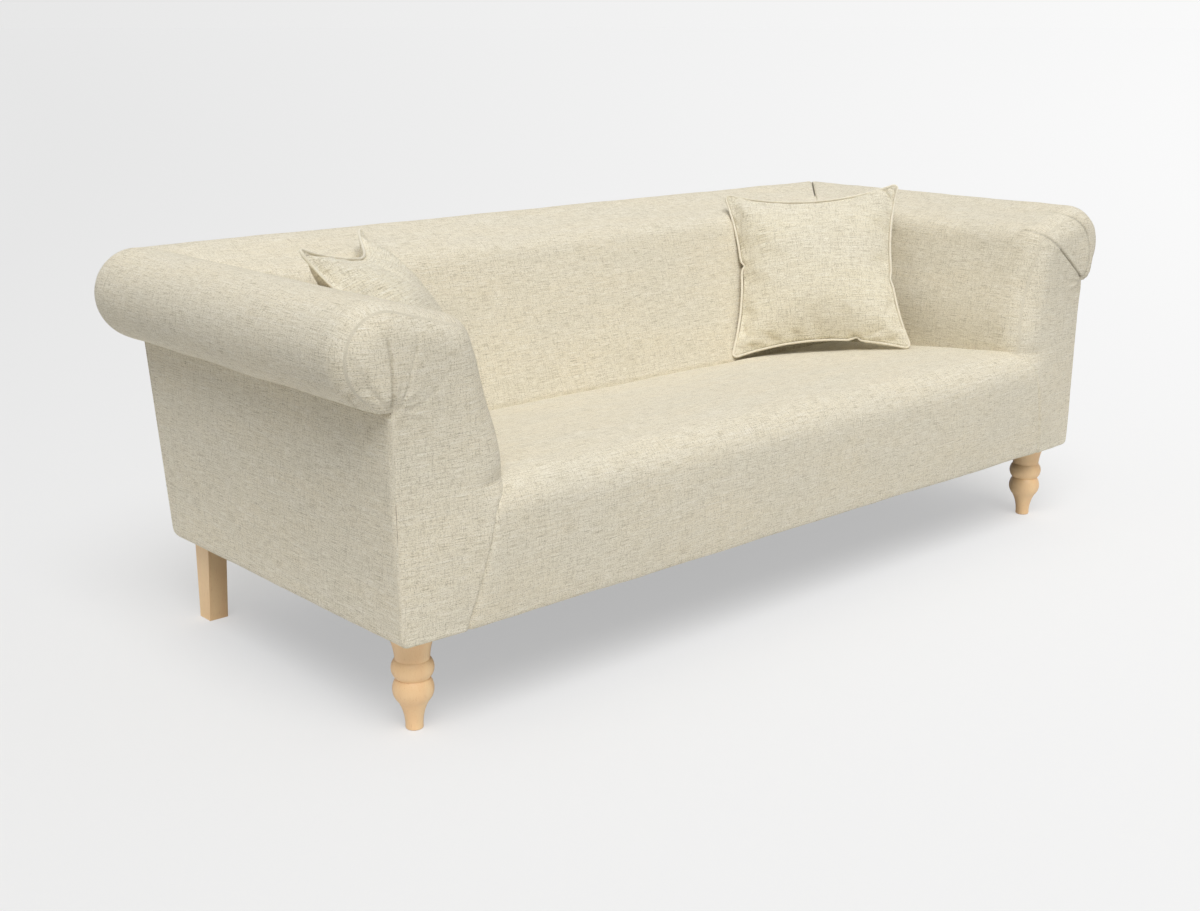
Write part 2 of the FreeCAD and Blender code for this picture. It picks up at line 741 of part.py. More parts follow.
strap_places = []
bays = ((rib_places[0] + thick, rib_places[1]), (rib_places[1] + thick, 0))
straps_per_bay = int(size("back_strap_pairs") / 2)
for low, high in bays:
    for index in range(straps_per_bay):
        middle = low + (high - low) * (index + 0.5) / straps_per_bay
        strap_places += [middle, -middle]
back_straps = webbing(
    back_face(back_skin, lining, rail_top, 0),
    back_face(back_skin + strap, lining + strap, rail_top, 0),
    box(-BIG, BIG, 0, back_roll_line - size("roll_radius"), tack_low, strap_high),
    strap_places,
    ALONG_X,
)
add_piece("back_webbing", back_straps)

# Zigzag seat springs from rail to rail, each end held in a clip
wire_radius = size("spring_wire_radius")
wire_height = rail_top + size("clip_height") / 2
spring_front = frame_front + thick / 2
spring_rear = rear_rail_middle
turns = int(size("spring_turns"))
turn_radius = (spring_rear - spring_front) / turns / 2
half_run = size("spring_straight") / 2
spring_places = [
    (index - (size("spring_count") - 1) / 2) * spring_pitch
    for index in range(int(size("spring_count")))
]


def zigzag(x):
    edges = []
    reach = 1
    depth = spring_front
    for turn in range(turns + 1):
        start = Vector(x - reach * half_run, depth, wire_height)
        end = Vector(x + reach * half_run, depth, wire_height)
        edges.append(Part.makeLine(start, end))
        if turn < turns:
            bulge = end + Vector(reach * turn_radius, turn_radius, 0)
            after = end + Vector(0, 2 * turn_radius, 0)
            edges.append(Part.Arc(end, bulge, after).toShape())
        depth += 2 * turn_radius
        reach = -reach
    path = Part.Wire(edges)
    start = Vector(x - half_run, spring_front, wire_height)
    ring = Part.Wire(Part.makeCircle(wire_radius, start, ALONG_X))
    return path.makePipeShell([ring], True, False)


springs = []
clips = []
for x in spring_places:
    springs.append(zigzag(x))
    for depth in (spring_front, spring_rear):
        half_clip = size("clip_length") / 2
        clip = box(
            x - half_clip,
            x + half_clip,
            depth - size("clip_depth") / 2,
            depth + size("clip_depth") / 2,
            rail_top,
            clip_top,
        )
        bore = Part.makeCylinder(
            wire_radius + size("clip_clearance"),
            size("clip_length"),
            Vector(x - half_clip, depth, wire_height),
            ALONG_X,
        )
        clips.append(clip.cut(bore))
add_piece("seat_springs", Part.makeCompound(springs))
add_piece("spring_clips", Part.makeCompound(clips))
hessian = box(
    -half_gap - cover,
    half_gap + cover,
    frame_front,
    size("seat_depth") + back_skin,
    clip_top,
    deck_top,
)
add_piece("seat_hessian", hessian)

# Foam
arm_soft = arm_form(cover, lining, frame_bottom).common(rear_limits[lining])
arm_core = arm_face(arm_skin, lining, frame_bottom, frame_front)
arm_core = arm_core.extrude(Vector(0, back_roll_line - frame_front, 0)).common(arm_zone)
arm_core = arm_core.fuse(roll_corner(arm_skin, 0))
arm_soft = arm_soft.cut([arm_core, seat_wing, under_deck])
ahead = box(0, BIG, -BIG, frame_front, 0, BIG)
arm_front_pad = arm_soft.common(ahead).removeSplitter()
arm_foam = arm_soft.cut(ahead).removeSplitter()
for side in ("left", "right"):
    for name, shape in (("arm_front_pad", arm_front_pad), ("arm_foam", arm_foam)):
        placed = shape if side == "right" else mirrored(shape)
        add_piece(f"{side}_{name}", placed)

back_outer = back_form(cover, lining, deck_top)
back_core = back_form(back_skin, lining, deck_top)
back_foam = back_outer.cut([back_core] + arms_outside).removeSplitter()
add_piece("back_foam", back_foam)

seat_block = seat_inner.common(seat_zone)
above_deck = box(-BIG, BIG, -BIG, BIG, deck_top, BIG)
seat_foam = seat_block.common(above_deck).removeSplitter()
front_foam = seat_block.common(box(-BIG, BIG, -BIG, frame_front, frame_bottom, deck_top))
add_piece("seat_foam", seat_foam)
add_piece("seat_front_foam", front_foam.removeSplitter())

# Covers and linings
arm_cover = arm_form(0, cover, underside).cut(arm_form(cover, cover, underside - cover))
arm_cover = arm_cover.common(rear_limits[lining]).cut([seat_wing, under_deck]).removeSplitter()
arm_side = arm_form(0, 0, underside).cut(arm_form(0, cover, underside))
arm_side = arm_side.common(rear_limits[cover]).removeSplitter()
arm_board = arm_form(cover, cover, frame_bottom).cut(arm_form(cover, lining, frame_bottom))
arm_board = arm_board.common(rear_limits[lining]).removeSplitter()
for side in ("left", "right"):
    for name, shape in (
        ("inside_arm_cover", arm_cover),
        ("outside_arm_cover", arm_side),
        ("outside_arm_board", arm_board),
    ):
        placed = shape if side == "right" else mirrored(shape)
        add_piece(f"{side}_{name}", placed)

inside_back = back_form(0, cover, deck_top).cut([back_form(cover, cover, deck_top)] + arms_outside)
add_piece("inside_back_cover", inside_back.removeSplitter())
behind = box(-half_width - MARGIN, half_width + MARGIN, 0, BIG, 0, crease_height)
outside_back = rear_limits[0].cut(rear_limits[cover]).common(behind).common(side_limits[0])
add_piece("outside_back_cover", outside_back.removeSplitter())
back_board = rear_limits[cover].cut(rear_limits[lining]).common(behind).common(side_limits[cover])
add_piece("outside_back_board", back_board.removeSplitter())
add_piece("seat_cover", seat_outer.cut(seat_inner).common(seat_zone).removeSplitter())
add_piece("dust_cover", dust_cover)

# Turned front legs, each a revolved sketch with the bolt hole in it
def add_outline(sketch, corners):
    # Each corner holds its place, its two expressions and, where the edge
    # after it is an arc, the expression and value of its radius and its swell
    count = len(corners)
    geometry = []
    for index, (place, x_text, y_text, curve) in enumerate(corners):
        after = corners[(index + 1) % count][0]
        if curve is None:
            geometry.append(Part.LineSegment(place, after))
        else:
            middle = arc_middle(place, after, curve[1], curve[2])
            geometry.append(Part.Arc(place, middle, after))
    sketch.addGeometry(geometry, False)
    firsts = []
    for index, corner in enumerate(corners):
        at_start = (sketch.getPoint(index, 1) - corner[0]).Length < SAME
        firsts.append(1 if at_start else 2)
    for index, (place, x_text, y_text, curve) in enumerate(corners):
        before = (index - 1) % count
        sketch.addConstraint(
            Sketcher.Constraint("Coincident", before, 3 - firsts[before], index, firsts[index])
        )
        for kind, axis, text, value in (
            ("DistanceX", -2, x_text, place.x),
            ("DistanceY", -1, y_text, place.y),
        ):
            if text is None:
                sketch.addConstraint(
                    Sketcher.Constraint("PointOnObject", index, firsts[index], axis)
                )
                continue
            rule = Sketcher.Constraint(kind, -1, 1, index, firsts[index], value)
            number = sketch.addConstraint(rule)
            sketch.setExpression(f"Constraints[{number}]", text)
        if curve is not None:
            number = sketch.addConstraint(Sketcher.Constraint("Radius", index, curve[1]))
            sketch.setExpression(f"Constraints[{number}]", curve[0])


def arc_middle(start, end, radius, swell):
    # The middle of an arc between two points, swelling out from the axis or in
    chord = end - start
    half = chord.Length / 2
    rise = radius - math.sqrt(radius**2 - half**2)
    out = Vector(chord.y, -chord.x, 0)
    out.normalize()
    return (start + end) * 0.5 + out * rise * swell


def station(radius_name, height_name, curve_name=None, swell=1):
    curve = None
    if curve_name:
        curve = (f"Sizes.{curve_name}", size(curve_name), swell)
    place = Vector(size(radius_name), size(height_name), 0)
    return place, f"Sizes.{radius_name}", f"Sizes.{height_name}", curve


def turned_leg(label, x_text):
    body = doc.addObject("PartDesign::Body", label)
    sketch = body.newObject("Sketcher::SketchObject", f"{label}_profile")
    plane = [item for item in body.Origin.OriginFeatures if item.Role == "XZ_Plane"][0]
    sketch.AttachmentSupport = [(plane, "")]
    sketch.MapMode = "FlatFace"
    hole_low = underside - size("bolt_in_leg")
    hole_text = "Sizes.bolt_radius + Sizes.bolt_clearance"
    low_text = "Sizes.ground_clearance - Sizes.bolt_in_leg"
    foot_flat = size("leg_foot_radius") - size("leg_foot_round")
    foot_curve = ("Sizes.leg_foot_round", size("leg_foot_round"), 1)
    add_outline(sketch, [
        (Vector(0, 0, 0), None, None, None),
        (Vector(foot_flat, 0, 0), "Sizes.leg_foot_radius - Sizes.leg_foot_round", None, foot_curve),
        station("leg_foot_radius", "leg_foot_round", "leg_ankle_curve", -1),
        station("leg_ankle_radius", "leg_ankle_height", "leg_bulb_curve"),
        station("leg_waist_radius", "leg_waist_height", "leg_bead_curve"),
        station("leg_neck_radius", "leg_neck_height", "leg_flare_curve", -1),
        station("leg_collar_radius", "leg_collar_height"),
        station("leg_collar_radius", "ground_clearance"),
        (Vector(bolt_hole, underside, 0), hole_text, "Sizes.ground_clearance", None),
        (Vector(bolt_hole, hole_low, 0), hole_text, low_text, None),
        (Vector(0, hole_low, 0), None, low_text, None),
    ])
    turning = body.newObject("PartDesign::Revolution", f"{label}_turning")
    turning.Profile = sketch
    turning.ReferenceAxis = (sketch, ["V_Axis"])
    turning.Angle = 360
    body.setExpression(".Placement.Base.x", x_text)
    body.setExpression(".Placement.Base.y", f"{FRONT} + Sizes.front_leg_depth")
    pieces.append(body)


FRONT_LEG_X = "(Sizes.base_width / 2 - Sizes.front_leg_inset)"
turned_leg("left_front_leg", f"-{FRONT_LEG_X}")
turned_leg("right_front_leg", FRONT_LEG_X)

# Square rear legs, upright behind and tapering down in front
REAR_LEG_X = "(Sizes.base_width / 2 - Sizes.rear_leg_inset)"
for side, x_text in (("left", f"-{REAR_LEG_X}"), ("right", REAR_LEG_X)):
    taper = doc.addObject("Part::Wedge", f"{side}_rear_leg_taper")
    taper.Xmin = taper.Ymin = taper.Zmin = taper.X2min = taper.Z2min = 0
    taper.setExpression("Xmax", "Sizes.rear_leg_foot")
    taper.setExpression("X2max", "Sizes.rear_leg_foot")
    taper.setExpression("Ymax", "Sizes.ground_clearance")
    taper.setExpression("Zmax", "Sizes.rear_leg_foot")
    taper.setExpression("Z2max", "Sizes.rear_leg_top")
    taper.Placement = Placement(Vector(0, 0, 0), Rotation(Vector(1, 0, 0), 90))
    taper.setExpression(".Placement.Base.x", f"{x_text} - Sizes.rear_leg_foot / 2")
    taper.setExpression(
        ".Placement.Base.y", f"{FRONT} + Sizes.base_depth - Sizes.rear_leg_setback"
    )
    hole = doc.addObject("Part::Cylinder", f"{side}_rear_leg_hole")
    hole.setExpression("Radius", "Sizes.bolt_radius + Sizes.bolt_clearance")
    hole.setExpression("Height", "Sizes.bolt_in_leg + Sizes.bolt_end_gap")
    hole.setExpression(".Placement.Base.x", x_text)
    hole.setExpression(".Placement.Base.y", f"{REAR_RAIL_Y} + Sizes.rear_rail_thickness / 2")
    hole.setExpression(".Placement.Base.z", "Sizes.ground_clearance - Sizes.bolt_in_leg")
    leg = doc.addObject("Part::Cut", f"{side}_rear_leg")
    leg.Base = taper
    leg.Tool = hole
    pieces.append(leg)


# Scatter cushions: a crowned pad in a cover, with piping round the seam
def cushion_outline(scale, height, grow):
    # Four drawn-in sides and four rounded corners, all arcs
    corner = size("cushion_corner") * scale
    middle = size("cushion_half_side") * scale
    small = size("cushion_corner_radius") * scale
    large = corner**2 + (middle - corner) ** 2 - small**2
    large /= 2 * (small + corner - middle)
    turn = Rotation(UP, 90)
    corner_centre = Vector(corner, corner, height)
    side_centre = Vector(0, middle + large, height)
    next_centre = Vector(middle + large, 0, height)
    to_side = side_centre - corner_centre
    to_side.normalize()
    to_next = next_centre - corner_centre
    to_next.normalize()
    reach = small + grow
    side_end = corner_centre + to_side * reach
    corner_end = corner_centre + to_next * reach
    tip = corner_centre + Vector(math.sqrt(0.5), math.sqrt(0.5), 0) * reach
    side_middle = Vector(0, middle + grow, height)
    edges = []
    points = [corner_end, tip, side_end, side_middle, Vector(-side_end.x, side_end.y, height)]
    for quarter in range(4):
        edges.append(Part.Arc(points[0], points[1], points[2]).toShape())
        edges.append(Part.Arc(points[2], points[3], points[4]).toShape())
        points = [turn.multVec(point) for point in points]
    return Part.Wire(edges)


def cushion_solid(inset):
    # Outlines that shrink towards both faces while the crown rises
    crown = size("cushion_crown") - inset
    steps = int(size("cushion_steps"))
    upper = []
    for step in range(steps):
        angle = math.pi / 2 * (1 - (step + 1) / steps)
        upper.append((math.cos(angle), crown * math.sin(angle) ** size("cushion_fullness")))
    lower = [(scale, -height) for scale, height in reversed(upper[:-1])]
    wires = [cushion_outline(scale, height, -inset) for scale, height in upper + lower]
    return Part.makeLoft(wires, True, True)


cushion_outside = cushion_solid(0)
cushion_pad = cushion_solid(size("cushion_cloth"))
cushion_cover = cushion_outside.cut(cushion_pad)
piping_reach = size("piping_radius") + size("piping_gap")
piping_path = cushion_outline(1, 0, piping_reach)
piping_start = piping_path.OrderedEdges[0]
piping_ring = Part.makeCircle(
    size("piping_radius"),
    piping_start.valueAt(piping_start.FirstParameter),
    piping_start.tangentAt(piping_start.FirstParameter),
)
cushion_piping = piping_path.makePipeShell([Part.Wire(piping_ring)], True, False)
lean = Rotation(ALONG_X, 90 - size("cushion_lean"))
for side, hand in (("left", -1), ("right", 1)):
    turn = Rotation(UP, -hand * size(f"{side}_cushion_turn"))
    roll = Rotation(UP, hand * size("cushion_roll"))
    place = Vector(
        hand * (half_gap - size(f"{side}_cushion_side_gap")),
        size("seat_depth") - size(f"{side}_cushion_rear_gap") + front_line,
        size("seat_front_height") + size(f"{side}_cushion_rise"),
    )
    for name, shape in (
        ("cushion_pad", cushion_pad),
        ("cushion_cover", cushion_cover),
        ("cushion_piping", cushion_piping),
    ):
        piece = add_piece(f"{side}_{name}", shape)
        piece.Placement = Placement(place, turn.multiply(lean).multiply(roll))

doc.recompute()
for item in doc.Objects:
    if {"Invalid", "Error"} & set(item.State):
        raise RuntimeError(f"{item.Label} did not build: {item.State}")
os.makedirs("parts", exist_ok=True)
labels = [piece.Label for piece in pieces]
if len(set(labels)) != len(labels):
    raise RuntimeError("two pieces share a name")
for piece in pieces:
    if piece.Shape.isNull() or not piece.Shape.isValid():
        raise RuntimeError(f"{piece.Label} is not a valid shape")
for piece in pieces:
    piece.Shape.exportStep(f"parts/{piece.Label}.step")
    print(piece.Label, len(piece.Shape.Solids), round(piece.Shape.Volume))
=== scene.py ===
import json
import math
import bpy
import bmesh
import numpy as np
from mathutils import Matrix, Vector, noise
from mathutils.geometry import delaunay_2d_cdt

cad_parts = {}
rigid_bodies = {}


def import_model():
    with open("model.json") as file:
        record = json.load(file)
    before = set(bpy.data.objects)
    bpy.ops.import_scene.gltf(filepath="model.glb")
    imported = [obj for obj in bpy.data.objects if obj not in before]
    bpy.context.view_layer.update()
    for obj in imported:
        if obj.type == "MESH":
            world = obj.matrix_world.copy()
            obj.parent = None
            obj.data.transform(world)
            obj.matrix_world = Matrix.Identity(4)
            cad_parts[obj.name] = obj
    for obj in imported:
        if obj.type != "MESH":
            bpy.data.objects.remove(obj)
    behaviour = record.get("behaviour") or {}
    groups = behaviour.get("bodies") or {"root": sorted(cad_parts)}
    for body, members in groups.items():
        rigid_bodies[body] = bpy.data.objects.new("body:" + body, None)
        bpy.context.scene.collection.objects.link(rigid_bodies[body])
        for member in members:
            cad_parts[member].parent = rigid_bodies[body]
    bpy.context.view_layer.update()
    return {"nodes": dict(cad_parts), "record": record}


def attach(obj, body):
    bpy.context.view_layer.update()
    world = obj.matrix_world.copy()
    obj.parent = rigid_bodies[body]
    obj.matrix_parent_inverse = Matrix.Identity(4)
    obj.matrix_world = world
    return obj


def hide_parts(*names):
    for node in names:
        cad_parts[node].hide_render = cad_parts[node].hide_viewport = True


for leftover in list(bpy.data.objects):
    bpy.data.objects.remove(leftover)

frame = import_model()
cadNodes = frame["nodes"]
slotOfNode = {part["node"]: part["material_slot"] for part in frame["record"]["subparts"]}
print("frame loaded with", len(cadNodes), "nodes")

# lines of the sofa that its pieces share, in metres, y counted from the frame's front line
sofa = {
    "frontLine": -0.4525,
    "underside": 0.183,
    "halfGap": 0.760,
    "halfWidth": 1.000,
    "outerArmTop": 1.008,
    "outerBack": 0.799,
    "outerBackTop": 0.849,
    "rollRadius": 0.090,
    "rollHeight": 0.678,
    "armRollLine": 1.003,
    "backRollLine": 0.849,
    "crestSlope": math.radians(16.7),
    "creaseHeight": 0.588,
    "seamTop": (0.799, 0.443),
    "seamFoot": (0.867, 0.183),
    "kneeLeast": 0.06,
    "kneeRadius": 0.300,
    "crestRadius": 0.060,
    "rollStop": 0.045,
    "mitreDepth": 0.003,
    "mitreWidth": 0.0045,
    "mitreFade": (0.60, 0.66),
    "cloth": 0.0025,
}


def smooth(value, low, high):
    part = np.clip((value - low) / (high - low), 0.0, 1.0)
    return part * part * (3 - 2 * part)


def edgeDip(distance, radius):
    inside = np.clip(radius - distance, 0.0, radius)  # how far a rounded edge has fallen
    return radius - np.sqrt(np.maximum(radius**2 - inside**2, 0.0))


def roundCorner(before, corner, after, radius, count=14):
    back = (before - corner) / np.linalg.norm(before - corner)
    onward = (after - corner) / np.linalg.norm(after - corner)
    half = math.acos(float(np.dot(back, onward))) / 2
    between = (back + onward) / np.linalg.norm(back + onward)
    centre = corner + between * radius / math.sin(half)
    start = corner + back * radius / math.tan(half) - centre
    end = corner + onward * radius / math.tan(half) - centre
    first = math.atan2(start[1], start[0])
    turn = (math.atan2(end[1], end[0]) - first + math.pi) % (2 * math.pi) - math.pi
    angles = [first + turn * step / count for step in range(count + 1)]
    return [centre + radius * np.array([math.cos(a), math.sin(a)]) for a in angles]


def evenly(points, step):
    points = np.array(points)
    gaps = np.linalg.norm(np.diff(points, axis=0), axis=1)
    keep = np.concatenate([[True], gaps > 1e-7])
    points = points[keep]
    run = np.concatenate([[0], np.cumsum(np.linalg.norm(np.diff(points, axis=0), axis=1))])
    count = max(2, int(round(run[-1] / step)) + 1)
    at = np.linspace(0, run[-1], count)
    return np.stack([np.interp(at, run, points[:, k]) for k in range(points.shape[1])], 1), at


def innerSection(inner, kneeHeight, lean, centre, low):
    # from the seat up the inner face, over the crest and round the roll to the crease under it
    slope = sofa["crestSlope"]
    radius = sofa["rollRadius"]
    touch = np.array([
        centre - radius * math.sin(slope), sofa["rollHeight"] + radius * math.cos(slope)
    ])
    faceAtTouch = inner + (touch[1] - kneeHeight) * lean
    run = (faceAtTouch - touch[0]) / (math.cos(slope) - lean * math.sin(slope))
    crest = touch + run * np.array([math.cos(slope), math.sin(slope)])
    start = np.array([inner, low])
    knee = np.array([inner, kneeHeight])
    points = [start]
    if kneeHeight - low > sofa["kneeLeast"]:
        points += roundCorner(start, knee, crest, sofa["kneeRadius"])
    else:
        points += [knee]
    points += roundCorner(knee, crest, touch, sofa["crestRadius"])
    first = math.pi / 2 + slope
    last = -math.pi / 2 + sofa["rollStop"]
    for step in range(49):
        angle = first + (last - first) * step / 48
        points.append(np.array([
            centre + radius * math.cos(angle), sofa["rollHeight"] + radius * math.sin(angle)
        ]))
    return points


def seamLine(height):
    top, foot = sofa["seamTop"], sofa["seamFoot"]
    return foot[0] + (top[0] - foot[0]) * (height - foot[1]) / (top[1] - foot[1])


def seatProfile():
    # side view of the seat: rear, crown, nose, apron and the turn under it
    seat = {"rear": (0.547, 0.399), "flat": (0.230, 0.4314), "nose": 0.034, "noseRadius": 0.065,
            "front": 0.443, "foot": 0.016, "footRound": 0.010, "pastRear": 0.012, "crown": 0.0035,
            "belly": 0.0045, "turnedUnder": 0.034}
    centre = np.array([seat["noseRadius"] - seat["nose"], seat["front"] - seat["noseRadius"]])
    points = [np.array([seat["rear"][0] + seat["pastRear"], seat["rear"][1]]), np.array(seat["rear"])]
    flat = np.array(seat["flat"])
    shoulder = centre + np.array([0, seat["noseRadius"]])
    for step in range(1, 25):
        part = step / 24
        line = flat + (shoulder - flat) * part
        line[1] += seat["crown"] * 4 * part * (1 - part)
        if step == 1:
            points.append(flat)
        points.append(line)
    for step in range(1, 21):
        angle = math.pi / 2 * (1 + step / 20)
        points.append(centre + seat["noseRadius"] * np.array([math.cos(angle), math.sin(angle)]))
    front = points[-1]
    foot = np.array([-seat["foot"], sofa["underside"]])
    for step in range(1, 20):
        part = step / 19
        line = front + (foot + np.array([0, seat["footRound"]]) - front) * part
        line[0] -= seat["belly"] * 4 * part * (1 - part)
        points.append(line)
    for step in range(1, 9):
        angle = math.pi + math.pi / 2 * step / 8
        points.append(foot + seat["footRound"] * np.array([1 + math.cos(angle), 1 + math.sin(angle)]))
    points.append(foot + np.array([seat["turnedUnder"], 0.0]))
    return points


seatSide, seatRun = evenly(seatProfile(), 0.0065)
# the nose and the apron alone, where each height has one depth
frontPart = seatSide[(seatSide[:, 1] < 0.4429) & (seatSide[:, 0] < 0.031) & (seatSide[:, 1] > 0.1935)]
frontOrder = np.argsort(frontPart[:, 1])


def seatFrontDepth(height):
    return np.interp(height, frontPart[frontOrder, 1], frontPart[frontOrder, 0])


# helpers that turn arrays into pieces
def newObject(name, data):
    made = bpy.data.objects.new(name, data)
    bpy.context.scene.collection.objects.link(made)
    return made


def softNoise(points, size, seed, octaves=2):
    shift = Vector((seed * 7.3, seed * 3.1, seed * 5.7))
    values = np.empty(len(points))
    for index, point in enumerate(points):
        values[index] = noise.fractal(Vector(point) / size + shift, 1.0, 2.0, octaves)
    return values


def ripples(points, *waves):
    # the slow unevenness of stuffed cloth; each wave has a height, a size and a seed
    return sum(height * softNoise(points, size, seed) for height, size, seed in waves)


def meshPiece(name, points, faces, uvPoints, material):
    # uvPoints gives cloth coordinates in metres for each vertex
    mesh = bpy.data.meshes.new(name)
    mesh.from_pydata([tuple(p) for p in points], [], [tuple(f) for f in faces])
    turned = bmesh.new()
    turned.from_mesh(mesh)
    bmesh.ops.recalc_face_normals(turned, faces=turned.faces)
    turned.to_mesh(mesh)
    turned.free()
    mesh.update()
    layer = mesh.uv_layers.new(name="UVMap")
    corners = np.empty(len(mesh.loops), dtype=np.int64)
    mesh.loops.foreach_get("vertex_index", corners)
    layer.data.foreach_set("uv", np.asarray(uvPoints, dtype=np.float64)[corners].ravel())
    mesh.polygons.foreach_set("use_smooth", [True] * len(mesh.polygons))
    mesh.materials.append(material)
    return newObject(name, mesh)


def vertexArrays(piece):
    mesh = piece.data
    points = np.empty(len(mesh.vertices) * 3)
    normals = np.empty(len(mesh.vertices) * 3)
    mesh.vertices.foreach_get("co", points)
    mesh.vertices.foreach_get("normal", normals)
    return points.reshape(-1, 3), normals.reshape(-1, 3)


def setPoints(piece, points):
    piece.data.vertices.foreach_set("co", np.asarray(points, dtype=np.float64).ravel())
    piece.data.update()


def faceOutwards(piece, inside):
    # turns every face if the piece's faces look at the point inside it on the whole
    mesh = piece.data
    total = 0.0
    for polygon in mesh.polygons:
        total += polygon.area * polygon.normal.dot(polygon.center - Vector(inside))
    if total < 0:
        mesh.flip_normals()
        mesh.update()


def gridFaces(rows, columns, start=0):
    faces = []
    for row in range(rows - 1):
        for column in range(columns - 1):
            first = start + row * columns + column
            faces.append((first, first + 1, first + columns + 1, first + columns))
    return faces


def addThickness(piece, thickness):
    # a cloth's own thickness, kept inside its outer face
    solidify = piece.modifiers.new("thickness", "SOLIDIFY")
    solidify.thickness = thickness
    solidify.offset = -1
    solidify.use_rim = True


def sweptCover(name, sections, cloth, inside):
    # a cover of the sofa from its sections in their order, with its points and normals
    faces = gridFaces(len(sections), len(sections[0]))
    piece = meshPiece(name, np.vstack(sections), faces, np.vstack(cloth), sofaCloth)
    faceOutwards(piece, inside)
    return piece, *vertexArrays(piece)


def finishCover(piece, points, outward, push):
    # pushes a cover's points along their normals and carries it to the frame's place
    points = points + outward * push[:, None]
    points[:, 1] += sofa["frontLine"]
    setPoints(piece, points)
    addThickness(piece, sofa["cloth"])
    return piece


def mitreDip(points):
    # the seam at 45 degrees where the covers of an arm and of the back meet
    mitre = (points[:, 1] - sofa["backRollLine"]) - (np.abs(points[:, 0]) - sofa["armRollLine"])
    dip = sofa["mitreDepth"] * np.exp(-(mitre / sofa["mitreWidth"]) ** 2)
    return dip * smooth(points[:, 2], *sofa["mitreFade"])


def roundRoll(travel, straight, swing, line, plain):
    # where a section's points are after a way straight on and then round the roll's corner
    turns = swing > 1e-6
    angle = np.where(turns, np.maximum(travel - straight, 0) / np.maximum(swing, 1e-6), 0)
    return np.where(turns, line + swing * np.cos(angle), plain), swing * np.sin(angle)


# shader node groups
def newShaderGroup(name, inputs, outputs):
    group = bpy.data.node_groups.new(name, "ShaderNodeTree")
    for label, kind, value in inputs:
        socket = group.interface.new_socket(label, in_out="INPUT", socket_type=kind)
        if value is not None:
            socket.default_value = value
    for label, kind in outputs:
        group.interface.new_socket(label, in_out="OUTPUT", socket_type=kind)
    return group, group.nodes.new("NodeGroupInput"), group.nodes.new("NodeGroupOutput")


def addNode(tree, kind, **values):
    # a node with the values of its inputs, where an underscore stands for a space
    node = tree.nodes.new(kind)
    for label, value in values.items():
        node.inputs[label.replace("_", " ")].default_value = value
    return node


def mathNode(tree, operation, first, second=None, third=None):
    node = tree.nodes.new("ShaderNodeMath")
    node.operation = operation
    for index, value in enumerate((first, second, third)):
        if value is None:
            continue
        if isinstance(value, (int, float)):
            node.inputs[index].default_value = value
        else:
            tree.links.new(value, node.inputs[index])
    return node.outputs[0]


def mixColour(tree, factor, first, second, blend="MIX"):
    node = tree.nodes.new("ShaderNodeMix")
    node.data_type = "RGBA"
    node.blend_type = blend
    for index, value in ((0, factor), (6, first), (7, second)):
        if isinstance(value, (int, float)):
            node.inputs[index].default_value = value
        elif isinstance(value, (tuple, list)):
            node.inputs[index].default_value = (*value[:3], 1.0)
        else:
            tree.links.new(value, node.inputs[index])
    return node.outputs[2]


def stretchedNoise(tree, vector, scale, detail=2.0, roughness=0.5, shift=0.0):
    mapping = addNode(tree, "ShaderNodeMapping", Scale=scale, Location=(shift, shift * 1.7, shift * 0.6))
    tree.links.new(vector, mapping.inputs["Vector"])
    texture = addNode(tree, "ShaderNodeTexNoise", Scale=1.0, Detail=detail, Roughness=roughness)
    tree.links.new(mapping.outputs[0], texture.inputs["Vector"])
    return texture.outputs["Fac"]


def rangeNode(tree, value, low, high, newLow=0.0, newHigh=1.0):
    node = addNode(tree, "ShaderNodeMapRange", From_Min=low, From_Max=high, To_Min=newLow, To_Max=newHigh)
    tree.links.new(value, node.inputs["Value"])
    return node.outputs[0]


